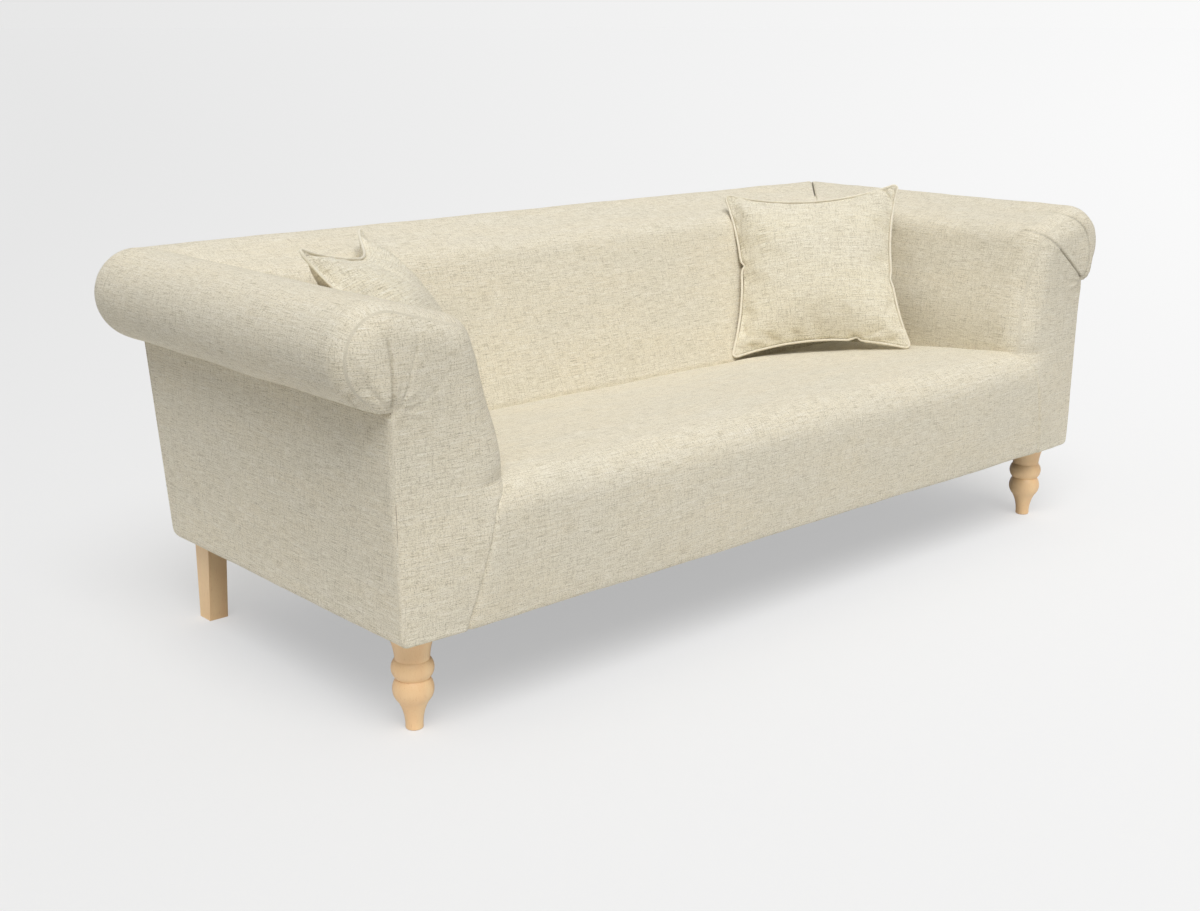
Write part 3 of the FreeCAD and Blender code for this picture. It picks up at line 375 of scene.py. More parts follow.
def buildWeave():
    # plain weave of slubby threads; the vector is in metres along the cloth
    group, given, out = newShaderGroup(
        "slubWeave",
        [("Vector", "NodeSocketVector", None), ("Thread", "NodeSocketFloat", 0.0011)],
        [("Light", "NodeSocketFloat"), ("Dark", "NodeSocketFloat"),
         ("Warm", "NodeSocketFloat"), ("Height", "NodeSocketFloat")],
    )
    vector = given.outputs["Vector"]
    split = group.nodes.new("ShaderNodeSeparateXYZ")
    group.links.new(vector, split.inputs[0])
    weftSlub = stretchedNoise(group, vector, (30, 600, 1), 3.0, 0.6)
    warpSlub = stretchedNoise(group, vector, (600, 60, 1), 3.0, 0.6, 4.3)
    longStreak = stretchedNoise(group, vector, (7, 330, 1), 2.0, 0.5, 9.1)
    grain = stretchedNoise(group, vector, (430, 560, 1), 3.0, 0.7, 13.7)
    cloud = stretchedNoise(group, vector, (5, 14, 1), 2.0, 0.5, 2.7)
    turnU = mathNode(group, "DIVIDE", split.outputs[0], given.outputs["Thread"])
    turnV = mathNode(group, "DIVIDE", split.outputs[1], given.outputs["Thread"])
    waveU = mathNode(group, "SINE", mathNode(group, "MULTIPLY", turnU, math.pi))
    waveV = mathNode(group, "SINE", mathNode(group, "MULTIPLY", turnV, math.pi))
    cross = mathNode(group, "MULTIPLY", waveU, waveV)  # plus where the weft lies on top
    ridgeU = mathNode(group, "ABSOLUTE", waveU)
    ridgeV = mathNode(group, "ABSOLUTE", waveV)
    ridges = mathNode(group, "ADD", ridgeU, ridgeV)
    threads = mathNode(group, "MULTIPLY_ADD", cross, 0.35, mathNode(group, "MULTIPLY", ridges, 0.3))
    slubs = mathNode(group, "ADD", rangeNode(group, weftSlub, 0.5, 0.75),
                     rangeNode(group, warpSlub, 0.55, 0.8))
    height = mathNode(group, "MULTIPLY_ADD", slubs, 0.8, threads)
    light = mathNode(group, "ADD", rangeNode(group, weftSlub, 0.50, 0.66, 0, 0.70),
                     rangeNode(group, longStreak, 0.50, 0.70, 0, 0.35))
    light = mathNode(group, "ADD", light, rangeNode(group, grain, 0.52, 0.70, 0, 0.80))
    dark = mathNode(group, "ADD", rangeNode(group, warpSlub, 0.48, 0.30, 0, 0.40),
                    rangeNode(group, weftSlub, 0.46, 0.30, 0, 0.60))
    dark = mathNode(group, "ADD", dark, rangeNode(group, grain, 0.48, 0.30, 0, 0.90))
    warm = rangeNode(group, cloud, 0.35, 0.65)
    for label, value in (("Light", light), ("Dark", dark), ("Warm", warm), ("Height", height)):
        group.links.new(value, out.inputs[label])
    return group


def buildGrain():
    # long grain along Z with short flecks, from object coordinates in metres
    group, given, out = newShaderGroup(
        "woodGrain",
        [("Vector", "NodeSocketVector", None), ("Rings", "NodeSocketFloat", 90.0)],
        [("Bands", "NodeSocketFloat"), ("Flecks", "NodeSocketFloat"), ("Height", "NodeSocketFloat")],
    )
    vector = given.outputs["Vector"]
    warp = stretchedNoise(group, vector, (16, 16, 3.5), 2.0)
    split = group.nodes.new("ShaderNodeSeparateXYZ")
    group.links.new(vector, split.inputs[0])
    across = mathNode(group, "MULTIPLY_ADD", split.outputs[1], 0.35, split.outputs[0])
    across = mathNode(group, "MULTIPLY_ADD", warp, 0.05, across)
    rings = mathNode(group, "SINE", mathNode(group, "MULTIPLY", across, given.outputs["Rings"]))
    fine = stretchedNoise(group, vector, (420, 420, 9), 3.0, 0.6, 3.0)
    spots = stretchedNoise(group, vector, (650, 650, 70), 1.0, 0.5, 6.0)
    flecks = rangeNode(group, spots, 0.62, 0.74)
    bands = mathNode(group, "MULTIPLY_ADD", rings, 0.25, mathNode(group, "MULTIPLY_ADD", fine, 0.7, 0.15))
    height = mathNode(group, "SUBTRACT", fine, mathNode(group, "MULTIPLY", flecks, 0.4))
    for label, value in (("Bands", bands), ("Flecks", flecks), ("Height", height)):
        group.links.new(value, out.inputs[label])
    return group


weaveGroup = buildWeave()
grainGroup = buildGrain()


def linear(red, green, blue):
    values = []
    for level in (red, green, blue):
        level /= 255
        values.append(level / 12.92 if level <= 0.04045 else ((level + 0.055) / 1.055) ** 2.4)
    return tuple(values)


def newMaterial(name, roughness=0.8, **sockets):
    material = bpy.data.materials.new(name)
    material.use_nodes = True
    tree = material.node_tree
    shader = tree.nodes["Principled BSDF"]
    shader.inputs["Roughness"].default_value = roughness
    for label, value in sockets.items():
        shader.inputs[label.replace("_", " ")].default_value = value
    return material, tree, shader


def bumpInto(tree, shader, height, strength, distance):
    bump = addNode(tree, "ShaderNodeBump", Strength=strength, Distance=distance)
    tree.links.new(height, bump.inputs["Height"])
    tree.links.new(bump.outputs[0], shader.inputs["Normal"])


def wovenCloth(name, finish):
    material, tree, shader = newMaterial(
        name, 0.92, Sheen_Weight=finish["sheen"], Sheen_Roughness=0.5, Specular_IOR_Level=0.25
    )
    place = tree.nodes.new("ShaderNodeUVMap")
    place.uv_map = "UVMap"
    weave = tree.nodes.new("ShaderNodeGroup")
    weave.node_tree = weaveGroup
    weave.inputs["Thread"].default_value = finish["thread"]
    tree.links.new(place.outputs["UV"], weave.inputs["Vector"])
    warm = mixColour(tree, weave.outputs["Warm"], finish["cool"], finish["base"])
    lit = mixColour(tree, weave.outputs["Light"], warm, finish["light"])
    dark = mixColour(tree, weave.outputs["Dark"], lit, finish["dark"])
    # painted shade: the fold attribute darkens the cloth towards a shade colour along the arm's pleat lines
    pleatShadeMask = tree.nodes.new("ShaderNodeAttribute")
    pleatShadeMask.attribute_name = "fold"
    shaded = mathNode(tree, "MULTIPLY", pleatShadeMask.outputs["Fac"], finish["pleatShadeStrength"])
    deep = mixColour(tree, shaded, dark, finish["deep"])
    tree.links.new(deep, shader.inputs["Base Color"])
    bumpInto(tree, shader, weave.outputs["Height"], finish["bump"], 0.0006)
    return material


# a dark colour and a strength here paint shade into the arm's pleat lines
oatCloth = {
    "base": linear(239, 229, 204), "cool": linear(235, 227, 205), "light": linear(251, 245, 229),
    "dark": linear(174, 162, 135), "deep": linear(112, 102, 84), "pleatShadeStrength": 0.70, "thread": 0.0011,
    "sheen": 0.12, "bump": 0.55,
}
sofaCloth = wovenCloth("sofaCloth", oatCloth)
cushionTones = {"base": linear(241, 232, 206), "light": linear(252, 247, 231)}
pipingTones = {"base": linear(246, 239, 219), "dark": linear(222, 211, 186)}
cushionCloth = wovenCloth("cushionCloth", {**oatCloth, **cushionTones})
pipingCloth = wovenCloth("pipingCloth", {**oatCloth, **pipingTones})
print("cloths made")

# arms: inner face, top, roll and pleated front in one cover
armShape = {
    "knee": 0.516, "lean": math.tan(math.radians(19.3)), "low": 0.330, "frontRadius": 0.058,
    "seamRadius": 0.008, "front": -0.0105, "dome": 0.009, "step": 0.0042, "rings": 16, "frontStep": 0.004,
    "deepest": 0.0080, "footRadius": 0.014, "cornerExtra": 0.014, "rowStep": 0.0075,
    "tuckIn": 0.003, "tuckBack": 0.024, "bellyFade": (0.340, 0.600), "domeAt": (1.000, 0.645),
    "domeSize": (0.055, 0.065), "chest": 0.004, "besideReach": 0.060, "besideFade": (0.385, 0.480),
    "seamFade": (0.372, 0.420), "seamEdge": 0.006, "drawnBack": 0.011, "drawnReach": 0.022,
}
gathering = {"at": (1.006, 0.597), "spokes": 15, "height": 0.0007, "ring": 0.035, "sink": 0.006,
             "sinkSize": 0.012}
# the last three values set the painted shade along each pleat: the depth at which it is full, its power and
# its width
foldShape = {"nearFront": (0.035, 0.085), "lap": 0.85, "lapStart": (-0.0002, 0.0030), "lapReach": 3.0,
             "valley": 0.40, "fadeFrom": 0.80, "fadeBy": 0.80, "shadeFullDepth": 0.0060, "shadePower": 1.5,
             "shadeWidth": 0.0034}
# pleat lines in the front plane, from the gathering point outwards: points, depth, width
armPleats = {
    1: [
        ([(0.990, 0.602), (0.9215, 0.657), (0.850, 0.713), (0.830, 0.735)], 0.0048, 0.0065),
        ([(1.007, 0.602), (1.017, 0.650), (1.015, 0.690), (0.988, 0.732), (0.941, 0.762)], 0.0062, 0.0080),
        ([(1.033, 0.598), (1.066, 0.640), (1.080, 0.704), (1.056, 0.745)], 0.0022, 0.0080),
        ([(0.975, 0.590), (0.925, 0.600), (0.880, 0.640)], 0.0012, 0.0100),
    ],
    -1: [
        ([(1.006, 0.600), (1.006, 0.640), (1.007, 0.687), (1.011, 0.725)], 0.0030, 0.0060),
        ([(0.988, 0.602), (0.972, 0.646), (0.954, 0.695), (0.946, 0.735)], 0.0014, 0.0090),
        ([(1.020, 0.604), (1.030, 0.615), (1.052, 0.650), (1.074, 0.700)], 0.0016, 0.0075),
        ([(0.975, 0.592), (0.930, 0.607), (0.885, 0.650)], 0.0010, 0.0110),
    ],
}


def curved(line):
    # a polyline with its corners cut three times
    line = np.array(line)
    for turn in range(3):
        between = [line[:1]]
        for first, last in zip(line[:-1], line[1:]):
            between.append(np.array([0.75 * first + 0.25 * last, 0.25 * first + 0.75 * last]))
        line = np.vstack(between + [line[-1:]])
    return line


pleatRows = (-0.0042, -0.0017, 0.0, 0.0017, 0.0042)


def pleatSpots(hand):
    # points in rows along each pleat, so that the mesh has an edge where the cloth folds
    spots = []
    for pleat in armPleats[hand][:3]:
        line = evenly(curved(pleat[0]), 0.0034)[0]
        ahead = np.gradient(line, axis=0)
        ahead /= np.linalg.norm(ahead, axis=1)[:, None]
        aside = np.stack([-ahead[:, 1], ahead[:, 0]], 1)
        for row in pleatRows:
            spots.append(line + aside * row)
    return np.vstack(spots)


def lineDistance(points, line):
    # signed distance to a polyline and how far along it the nearest point is, from 0 to 1
    line = np.array(line)
    lengths = np.linalg.norm(np.diff(line, axis=0), axis=1)
    total = lengths.sum()
    best = np.full(len(points), 9.0)
    side = np.zeros(len(points))
    along = np.zeros(len(points))
    done = 0.0
    for first, last, length in zip(line[:-1], line[1:], lengths):
        direction = (last - first) / length
        offset = points - first
        travel = np.clip(offset @ direction, 0, length)
        gap = offset - travel[:, None] * direction
        distance = np.linalg.norm(gap, axis=1)
        nearer = distance < best
        best = np.where(nearer, distance, best)
        cross = direction[0] * offset[:, 1] - direction[1] * offset[:, 0]
        side = np.where(nearer, np.sign(cross), side)
        along = np.where(nearer, (done + travel) / total, along)
        done += length
    return best * side, along


def armFront(x, z):
    # depth of the arm's front face: domed, and beside the seat's nose drawn back to its seam
    shape = armShape
    seam = seamLine(z)
    towards = np.clip((1.0 - x) / (1.0 - seam), 0, 1)
    fade = smooth(z, *shape["bellyFade"])
    belly = (shape["front"] - seatFrontDepth(np.clip(z, 0.190, 0.38))) * (1 - fade)
    (domeX, domeZ), (domeWide, domeTall) = shape["domeAt"], shape["domeSize"]
    roll = np.exp(-(((x - domeX) / domeWide) ** 2 + ((z - domeZ) / domeTall) ** 2))
    chest = smooth(1.0 - x, 0.0, 0.07) * smooth(x, 0.79, 0.86)
    depth = shape["front"] - belly * towards**0.9 - shape["dome"] * roll - shape["chest"] * chest * fade
    seatFront = seatFrontDepth(np.clip(z, 0.195, 0.44)) - 0.009 * smooth(z, 0.40, 0.44)
    reach = shape["besideReach"]
    beside = smooth(seam + reach - x, 0.0, reach) * (1 - smooth(z, *shape["besideFade"]))
    depth = depth + (np.maximum(seatFront, depth) - depth) * beside
    drawn = shape["drawnBack"] * smooth(seam - x, 0.0, shape["drawnReach"])
    mask = 1 - smooth(z, *shape["seamFade"])
    return depth + mask * (edgeDip(np.maximum(x - seam, 0), shape["seamEdge"]) + drawn)


def armEnd(x):
    return np.where(
        x < sofa["armRollLine"], sofa["backRollLine"] - (sofa["armRollLine"] - x), sofa["backRollLine"]
    )


def armOutline():
    # the front's outline: the soft section, then the hard edge down the outside and under the foot
    shape = armShape
    line = innerSection(sofa["halfGap"], shape["knee"], shape["lean"], sofa["armRollLine"], sofa["underside"])
    soft, softRun = evenly(line, shape["step"])
    crease = soft[-1]
    foot = np.array([sofa["halfWidth"], sofa["underside"]])
    corner = roundCorner(crease, foot, np.array([0.8, sofa["underside"]]), shape["footRadius"])
    bottomEnd = np.array([sofa["halfGap"] + 0.004, sofa["underside"]])
    hard, hardRun = evenly([crease] + corner + [bottomEnd], shape["step"])
    loop = np.vstack([soft, hard[1:]])
    ahead = np.roll(loop, -1, axis=0) - np.roll(loop, 1, axis=0)
    normals = np.stack([ahead[:, 1], -ahead[:, 0]], 1)  # towards the inside of the outline
    normals /= np.linalg.norm(normals, axis=1)[:, None]
    for turn in range(5):
        normals = normals + 0.5 * (np.roll(normals, 1, axis=0) + np.roll(normals, -1, axis=0))
        normals /= np.linalg.norm(normals, axis=1)[:, None]
    run = np.concatenate([softRun, softRun[-1] + hardRun[1:]])
    # how round the front's edge is along the outline
    fade = smooth(run, softRun[-1] - 0.085, softRun[-1] + 0.005)
    radius = shape["frontRadius"] * (1 - fade) + shape["seamRadius"] * fade
    radius += shape["cornerExtra"] * smooth(run, 0.23, 0.29) * (1 - smooth(run, 0.38, 0.48))
    radius *= 0.25 + 0.75 * smooth(run, 0.0, 0.06)
    return soft, softRun, loop, run, normals, radius


def frontSpots(border, hand):
    # even points inside the front's border, closer together along the pleats
    stride = armShape["frontStep"]
    spread = np.arange(border[:, 0].min(), border[:, 0].max(), stride)
    climb = np.arange(border[:, 1].min(), border[:, 1].max(), stride * 0.87)
    spots = np.array([(x + (row % 2) * stride / 2, z) for row, z in enumerate(climb) for x in spread])
    fine = pleatSpots(hand)
    clear = np.ones(len(spots), dtype=bool)
    for spot in fine:
        clear &= ((spots - spot) ** 2).sum(1) > (0.6 * stride) ** 2
    spots = np.vstack([spots[clear], fine])
    inside = np.zeros(len(spots), dtype=bool)
    nearest = np.full(len(spots), 9.0)
    for first, last in zip(border, np.roll(border, -1, axis=0)):
        crosses = (first[1] > spots[:, 1]) != (last[1] > spots[:, 1])
        slope = (last[0] - first[0]) / (last[1] - first[1] if abs(last[1] - first[1]) > 1e-12 else 1e-12)
        inside ^= crosses & (spots[:, 0] < first[0] + slope * (spots[:, 1] - first[1]))
        nearest = np.minimum(nearest, np.linalg.norm(spots - first, axis=1))
    return spots[inside & (nearest > 0.7 * stride)]


def foldFront(points, hand):
    # how far the pleats and the gathering push the front's cloth, and where painted shade darkens it along
    # the pleats
    flatPlace = np.stack([points[:, 0] * hand, points[:, 2]], 1)
    near = 1 - smooth(points[:, 1], *foldShape["nearFront"])
    push = np.zeros(len(points))
    shade = np.zeros(len(points))
    for pleat, depth, width in armPleats[hand]:
        distance, along = lineDistance(flatPlace, curved(pleat))
        strength = depth * (1 - smooth(along, foldShape["fadeFrom"], 1.0) * foldShape["fadeBy"])
        strength *= np.where((along >= 1) | (along <= 0), np.exp(-np.abs(distance) / width), 1)
        lap = smooth(distance, *foldShape["lapStart"])
        lap = lap * np.exp(-np.maximum(distance, 0) / (foldShape["lapReach"] * width))
        fold = foldShape["lap"] * lap - np.exp(-(distance / (foldShape["valley"] * width)) ** 2)
        push += near * strength * fold
        # painted shade: a dark line along each pleat, darker where the pleat is deeper
        tone = near * (strength / foldShape["shadeFullDepth"]) ** foldShape["shadePower"]
        shade = np.maximum(shade, tone * np.exp(-(distance / foldShape["shadeWidth"]) ** 2))
    away = flatPlace - np.array(gathering["at"])
    gather = np.linalg.norm(away, axis=1)
    spokes = np.sin(np.arctan2(away[:, 1], away[:, 0]) * gathering["spokes"])
    ring = np.exp(-((gather - gathering["ring"]) / gathering["ring"]) ** 2)
    push += near * gathering["height"] * spokes * ring
    push -= near * gathering["sink"] * np.exp(-(gather / gathering["sinkSize"]) ** 2)
    return np.maximum(push, -armShape["deepest"]), shade


def makeArmCover(name, hand):
    shape = armShape
    soft, softRun, loop, run, normals, radius = armOutline()
    count = len(loop)
    bodyCount = len(soft)
    rings = []
    for ring in range(shape["rings"] + 1):
        angle = math.pi / 2 * ring / shape["rings"]
        inset = loop + normals * (radius * (1 - math.cos(angle)))[:, None]
        depth = armFront(inset[:, 0], inset[:, 1]) + radius * (1 - math.sin(angle))
        rings.append(np.stack([inset[:, 0], depth, inset[:, 1]], 1))
    # rows that run back along the arm from the first ring
    startDepth = rings[0][:bodyCount, 1]
    straight = armEnd(soft[:, 0]) - startDepth
    swing = np.maximum(soft[:, 0] - sofa["armRollLine"], 0)
    length = straight + swing * math.pi / 4
    rows = int(round(float(length.max()) / shape["rowStep"]))
    body = []
    for row in range(rows, 0, -1):
        travel = length * row / rows
        x, onward = roundRoll(travel, straight, swing, sofa["armRollLine"], soft[:, 0])
        depth = startDepth + np.minimum(travel, straight) + onward
        body.append(np.stack([x, depth, soft[:, 1]], 1))
    points = np.vstack(body + rings)
    faces = gridFaces(rows, bodyCount)
    ringStart = rows * bodyCount
    for column in range(bodyCount - 1):
        first = (rows - 1) * bodyCount + column
        faces.append((first, first + 1, ringStart + column + 1, ringStart + column))
    for ring in range(shape["rings"]):
        for column in range(count):
            after = (column + 1) % count
            first = ringStart + ring * count
            faces.append((first + column, first + after, first + count + after, first + count + column))
    # the edge turned in under the outside panel and the dust cover
    turned = list(range(bodyCount - 1, count)) + [0]
    tuckStart = len(points)
    tucked = loop[turned] + normals[turned] * shape["tuckIn"]
    tuckDepth = rings[0][turned, 1] + shape["tuckBack"]
    points = np.vstack([points, np.stack([tucked[:, 0], tuckDepth, tucked[:, 1]], 1)])
    for step in range(len(turned) - 1):
        first, after = ringStart + turned[step], ringStart + turned[step + 1]
        faces.append((after, first, tuckStart + step, tuckStart + step + 1))
    # the middle of the front, filled with even triangles
    border = rings[-1][:, [0, 2]]
    flat = [Vector(p) for p in border] + [Vector(p) for p in frontSpots(border, hand)]
    filled = delaunay_2d_cdt(flat, [], [list(range(count))], 1, 1e-6)
    middle = np.array([(p.x, p.y) for p in filled[0]])
    lastRing = ringStart + shape["rings"] * count
    place = {}
    extra = []
    for index, sources in enumerate(filled[3]):
        rim = [source for source in sources if source < count]
        if rim:
            place[index] = lastRing + rim[0]
        else:
            place[index] = len(points) + len(extra)
            x, z = middle[index:index + 1].T
            extra.append((x[0], float(armFront(x, z)[0]), z[0]))
    points = np.vstack([points, np.array(extra)])
    faces += [tuple(place[corner] for corner in face) for face in filled[2]]
    # cloth coordinates: along the arm, and from half way round the front's edge straight across it
    uv = points[:, [0, 2]].copy()
    uv[:ringStart] = np.stack([points[:ringStart, 1], np.tile(softRun, rows)], 1)
    early = np.repeat(np.arange(shape["rings"] + 1) / shape["rings"], count) < 0.5
    wrapped = ringStart + np.where(early)[0]
    uv[wrapped] = np.stack([points[wrapped, 1], np.tile(run, shape["rings"] + 1)[early]], 1)
    points[:, 0] *= hand
    piece = meshPiece(name, points, faces, uv, sofaCloth)
    faceOutwards(piece, (hand * 0.92, 0.35, 0.45))
    points, outward = vertexArrays(piece)
    push, shade = foldFront(points, hand)
    push += ripples(points, (0.0016, 0.16, 3 + hand), (0.0005, 0.035, 5 + hand))
    push -= mitreDip(points)
    # the painted pleat shade is kept as the fold attribute, which darkens the cloth
    pleatShadeLayer = piece.data.attributes.new("fold", "FLOAT", "POINT")
    pleatShadeLayer.data.foreach_set("value", np.clip(shade, 0, 1).astype(np.float32))
    return finishCover(piece, points, outward, push)


leftArm = makeArmCover("leftArmCover", -1)
rightArm = makeArmCover("rightArmCover", 1)
for piece, side in ((leftArm, "left"), (rightArm, "right")):
    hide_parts(f"{side}_inside_arm_cover", f"{side}_arm_foam", f"{side}_arm_front_pad")
    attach(piece, "sofa")
print("arm covers made")

# inside back with its roll
backShape = {"knee": 0.399, "lean": 0.4061, "depth": 0.547, "low": 0.372, "step": 0.0065, "tuck": 0.913,
             "tuckedBefore": 0.759, "columns": 135, "bulge": 0.004}


def makeBackCover():
    shape = backShape
    line = innerSection(shape["depth"], shape["knee"], shape["lean"], sofa["backRollLine"], shape["low"])
    section, run = evenly(line, shape["step"])
    depth = section[:, 0]
    toArm = sofa["armRollLine"] - (sofa["backRollLine"] - depth)
    reach = np.where(depth < sofa["backRollLine"], toArm, sofa["armRollLine"])
    reach = np.where(depth < shape["tuckedBefore"], shape["tuck"], reach)
    swing = np.maximum(depth - sofa["backRollLine"], 0)
    length = reach + swing * math.pi / 4
    columns = shape["columns"]
    sections = []
    cloth = []
    for column in range(-columns, columns + 1):
        travel = length * abs(column) / columns
        y, onward = roundRoll(travel, reach, swing, sofa["backRollLine"], depth)
        x = np.minimum(travel, reach) + onward
        hand = 1 if column >= 0 else -1
        sections.append(np.stack([hand * x, y, section[:, 1]], 1))
        cloth.append(np.stack([hand * travel, run], 1))
    piece, points, outward = sweptCover("insideBackCover", sections, cloth, (0, 0.80, 0.50))
    push = ripples(points, (0.0020, 0.22, 8), (0.0005, 0.04, 9))
    bulge = shape["bulge"] * np.cos(np.clip(points[:, 0] / 0.80, -1, 1) * math.pi / 2)
    push += bulge * smooth(points[:, 2], 0.40, 0.50) * (1 - smooth(points[:, 2], 0.62, 0.74))
    push -= mitreDip(points)
    return finishCover(piece, points, outward, push)


insideBack = makeBackCover()
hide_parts("inside_back_cover", "back_foam")
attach(insideBack, "sofa")
print("inside back made")

# seat with its nose and apron
seatShape = {"sideRadius": 0.009, "columns": 230, "tuckDepth": 0.009, "tuckWidth": 0.016, "crown": 0.005,
             "intoArm": 0.020}


def makeSeatCover():
    shape = seatShape
    depth, height = seatSide[:, 0], seatSide[:, 1]
    besideArm = sofa["halfGap"] + 0.010 + 0.029 * (1 - smooth(depth, 0.050, 0.120))
    besideSeam = seamLine(np.minimum(height, 0.443))
    onTop = (depth > -0.02) & (height > 0.40)
    half = np.where(onTop, np.minimum(besideArm, besideSeam), besideSeam)
    half = np.convolve(np.pad(half, 2, mode="edge"), np.ones(5) / 5, mode="valid")
    sections = []
    cloth = []
    for column in range(shape["columns"] + 1):
        part = 2 * column / shape["columns"] - 1
        x = part * (half + shape["intoArm"])
        sections.append(np.stack([x, depth, height], 1))
        cloth.append(np.stack([x, seatRun], 1))
    piece, points, outward = sweptCover("seatCover", sections, cloth, (0, 0.25, 0.30))
    halfAll = np.tile(half, shape["columns"] + 1)
    fromSide = halfAll - np.abs(points[:, 0])
    frontFace = 1 - smooth(points[:, 1], 0.0, 0.045)
    push = -edgeDip(fromSide, shape["sideRadius"]) * frontFace
    top = 1 - frontFace
    gapToArm = np.maximum(sofa["halfGap"] - np.abs(points[:, 0]), 0)
    gapToBack = np.maximum(backShape["depth"] - points[:, 1], 0)
    besideArms = np.exp(-gapToArm / shape["tuckWidth"]) * smooth(points[:, 1], 0.03, 0.14)
    push -= top * shape["tuckDepth"] * besideArms
    push -= top * shape["tuckDepth"] * np.exp(-gapToBack / shape["tuckWidth"])
    middle = np.cos(np.clip(points[:, 0] / 0.78, -1, 1) * math.pi / 2)
    push += top * shape["crown"] * middle * np.sin(np.clip(points[:, 1] / 0.547, 0, 1) * math.pi)
    push += ripples(points, (0.0018, 0.20, 12), (0.0005, 0.035, 13))
    return finishCover(piece, points, outward, push)


seatCover = makeSeatCover()
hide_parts("seat_cover", "seat_foam", "seat_front_foam")
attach(seatCover, "sofa")
print("seat made")

# outside panels
panelShape = {"step": 0.008, "edgeDip": 0.0015, "edgeWidth": 0.006, "tuckUp": 0.012, "tuckIn": 0.006,
              "footSteps": 10, "rearRadius": 0.025, "sideRows": 104, "rearColumns": 220}


def outerEdge(foot, top, height, radius):
    # an outside face at a height: it leans outwards and is rounded at the foot
    slope = (top - foot) / (sofa["creaseHeight"] - sofa["underside"])
    above = height - sofa["underside"]
    return foot + slope * above - edgeDip(above, radius)


def rearEdge(height):
    return outerEdge(sofa["outerBack"], sofa["outerBackTop"], height, panelShape["rearRadius"])


def sideEdge(height):
    return outerEdge(sofa["halfWidth"], sofa["outerArmTop"], height, armShape["footRadius"])


def panelDips(fromEdge, height):
    # how far a panel lies in at its upright edges, and where it goes under the roll
    atEdge = panelShape["edgeDip"] * (1 - smooth(fromEdge, 0.0, panelShape["edgeWidth"]))
    crease = sofa["creaseHeight"]
    return atEdge, panelShape["tuckIn"] * smooth(height, crease - 0.004, crease + 0.012)


def panelHeights(radius):
    # heights from the crease down, closer together round the foot
    ends = [(0, sofa["creaseHeight"] + panelShape["tuckUp"]), (0, sofa["underside"] + radius)]
    upright = evenly(ends, panelShape["step"])[0]
    steps = panelShape["footSteps"]
    fallen = [1 - math.sin(math.pi / 2 * step / steps) for step in range(1, steps + 1)]
    return np.concatenate([upright[:, 1], [sofa["underside"] + radius * part for part in fallen]])


def makeSidePanel(name, hand):
    heights = panelHeights(armShape["footRadius"])
    rows = panelShape["sideRows"]
    start = armFront(np.full(len(heights), 0.9985), np.minimum(heights, 0.58)) + armShape["seamRadius"] * 0.7
    end = rearEdge(heights) - 0.0005
    sections = []
    cloth = []
    for row in range(rows + 1):
        depth = start + (end - start) * (row / rows)
        atEdge, atCrease = panelDips(np.minimum(depth - start, end - depth), heights)
        x = sideEdge(heights) - atEdge - atCrease
        sections.append(np.stack([hand * x, depth, heights], 1))
        cloth.append(np.stack([depth, heights], 1))
    piece, points, outward = sweptCover(name, sections, cloth, (hand * 0.5, 0.4, 0.4))
    inner = smooth(points[:, 1], 0.01, 0.08) * (1 - smooth(points[:, 1], 0.72, 0.79))
    push = inner * ripples(points, (0.0014, 0.25, 20 + hand), (0.0004, 0.04, 21))
    return finishCover(piece, points, outward, push)


def makeRearPanel():
    heights = panelHeights(panelShape["rearRadius"])
    columns = panelShape["rearColumns"]
    half = sideEdge(heights)
    sections = []
    cloth = []
    for column in range(columns + 1):
        x = half * (2 * column / columns - 1)
        atEdge, atCrease = panelDips(half - np.abs(x), heights)
        sections.append(np.stack([x, rearEdge(heights) - atEdge - atCrease, heights], 1))
        cloth.append(np.stack([x, heights], 1))
    piece, points, outward = sweptCover("outsideBackCover", sections, cloth, (0, 0.3, 0.4))
    inner = 1 - smooth(np.abs(points[:, 0]), 0.93, 0.99)
    push = inner * ripples(points, (0.0014, 0.28, 25), (0.0004, 0.04, 26))
    return finishCover(piece, points, outward, push)


leftPanel = makeSidePanel("leftOutsideCover", -1)
rightPanel = makeSidePanel("rightOutsideCover", 1)
rearPanel = makeRearPanel()
for piece, node in (
    (leftPanel, "left_outside_arm_cover"),
    (rightPanel, "right_outside_arm_cover"),
    (rearPanel, "outside_back_cover"),
):
    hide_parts(node)
    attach(piece, "sofa")
print("outside panels made")

# geometry node trees
def joinUp(tree, *joints):
    # each joint names a node and its output, then a node and its input
    for source, output, target, into in joints:
        tree.links.new(source.outputs[output], target.inputs[into])


def newGeometryTree(name, inputs):
    tree = bpy.data.node_groups.new(name, "GeometryNodeTree")
    tree.interface.new_socket("Geometry", in_out="INPUT", socket_type="NodeSocketGeometry")
    for label, kind, value in inputs:
        socket = tree.interface.new_socket(label, in_out="INPUT", socket_type=kind)
        if value is not None:
            socket.default_value = value
    tree.interface.new_socket("Geometry", in_out="OUTPUT", socket_type="NodeSocketGeometry")
    return tree, tree.nodes.new("NodeGroupInput"), tree.nodes.new("NodeGroupOutput")


def finishTree(tree, given, out, geometry):
    realize = tree.nodes.new("GeometryNodeRealizeInstances")
    paint = tree.nodes.new("GeometryNodeSetMaterial")
    tree.links.new(geometry, realize.inputs[0])
    tree.links.new(realize.outputs[0], paint.inputs["Geometry"])
    tree.links.new(given.outputs["Material"], paint.inputs["Material"])
    tree.links.new(paint.outputs[0], out.inputs[0])


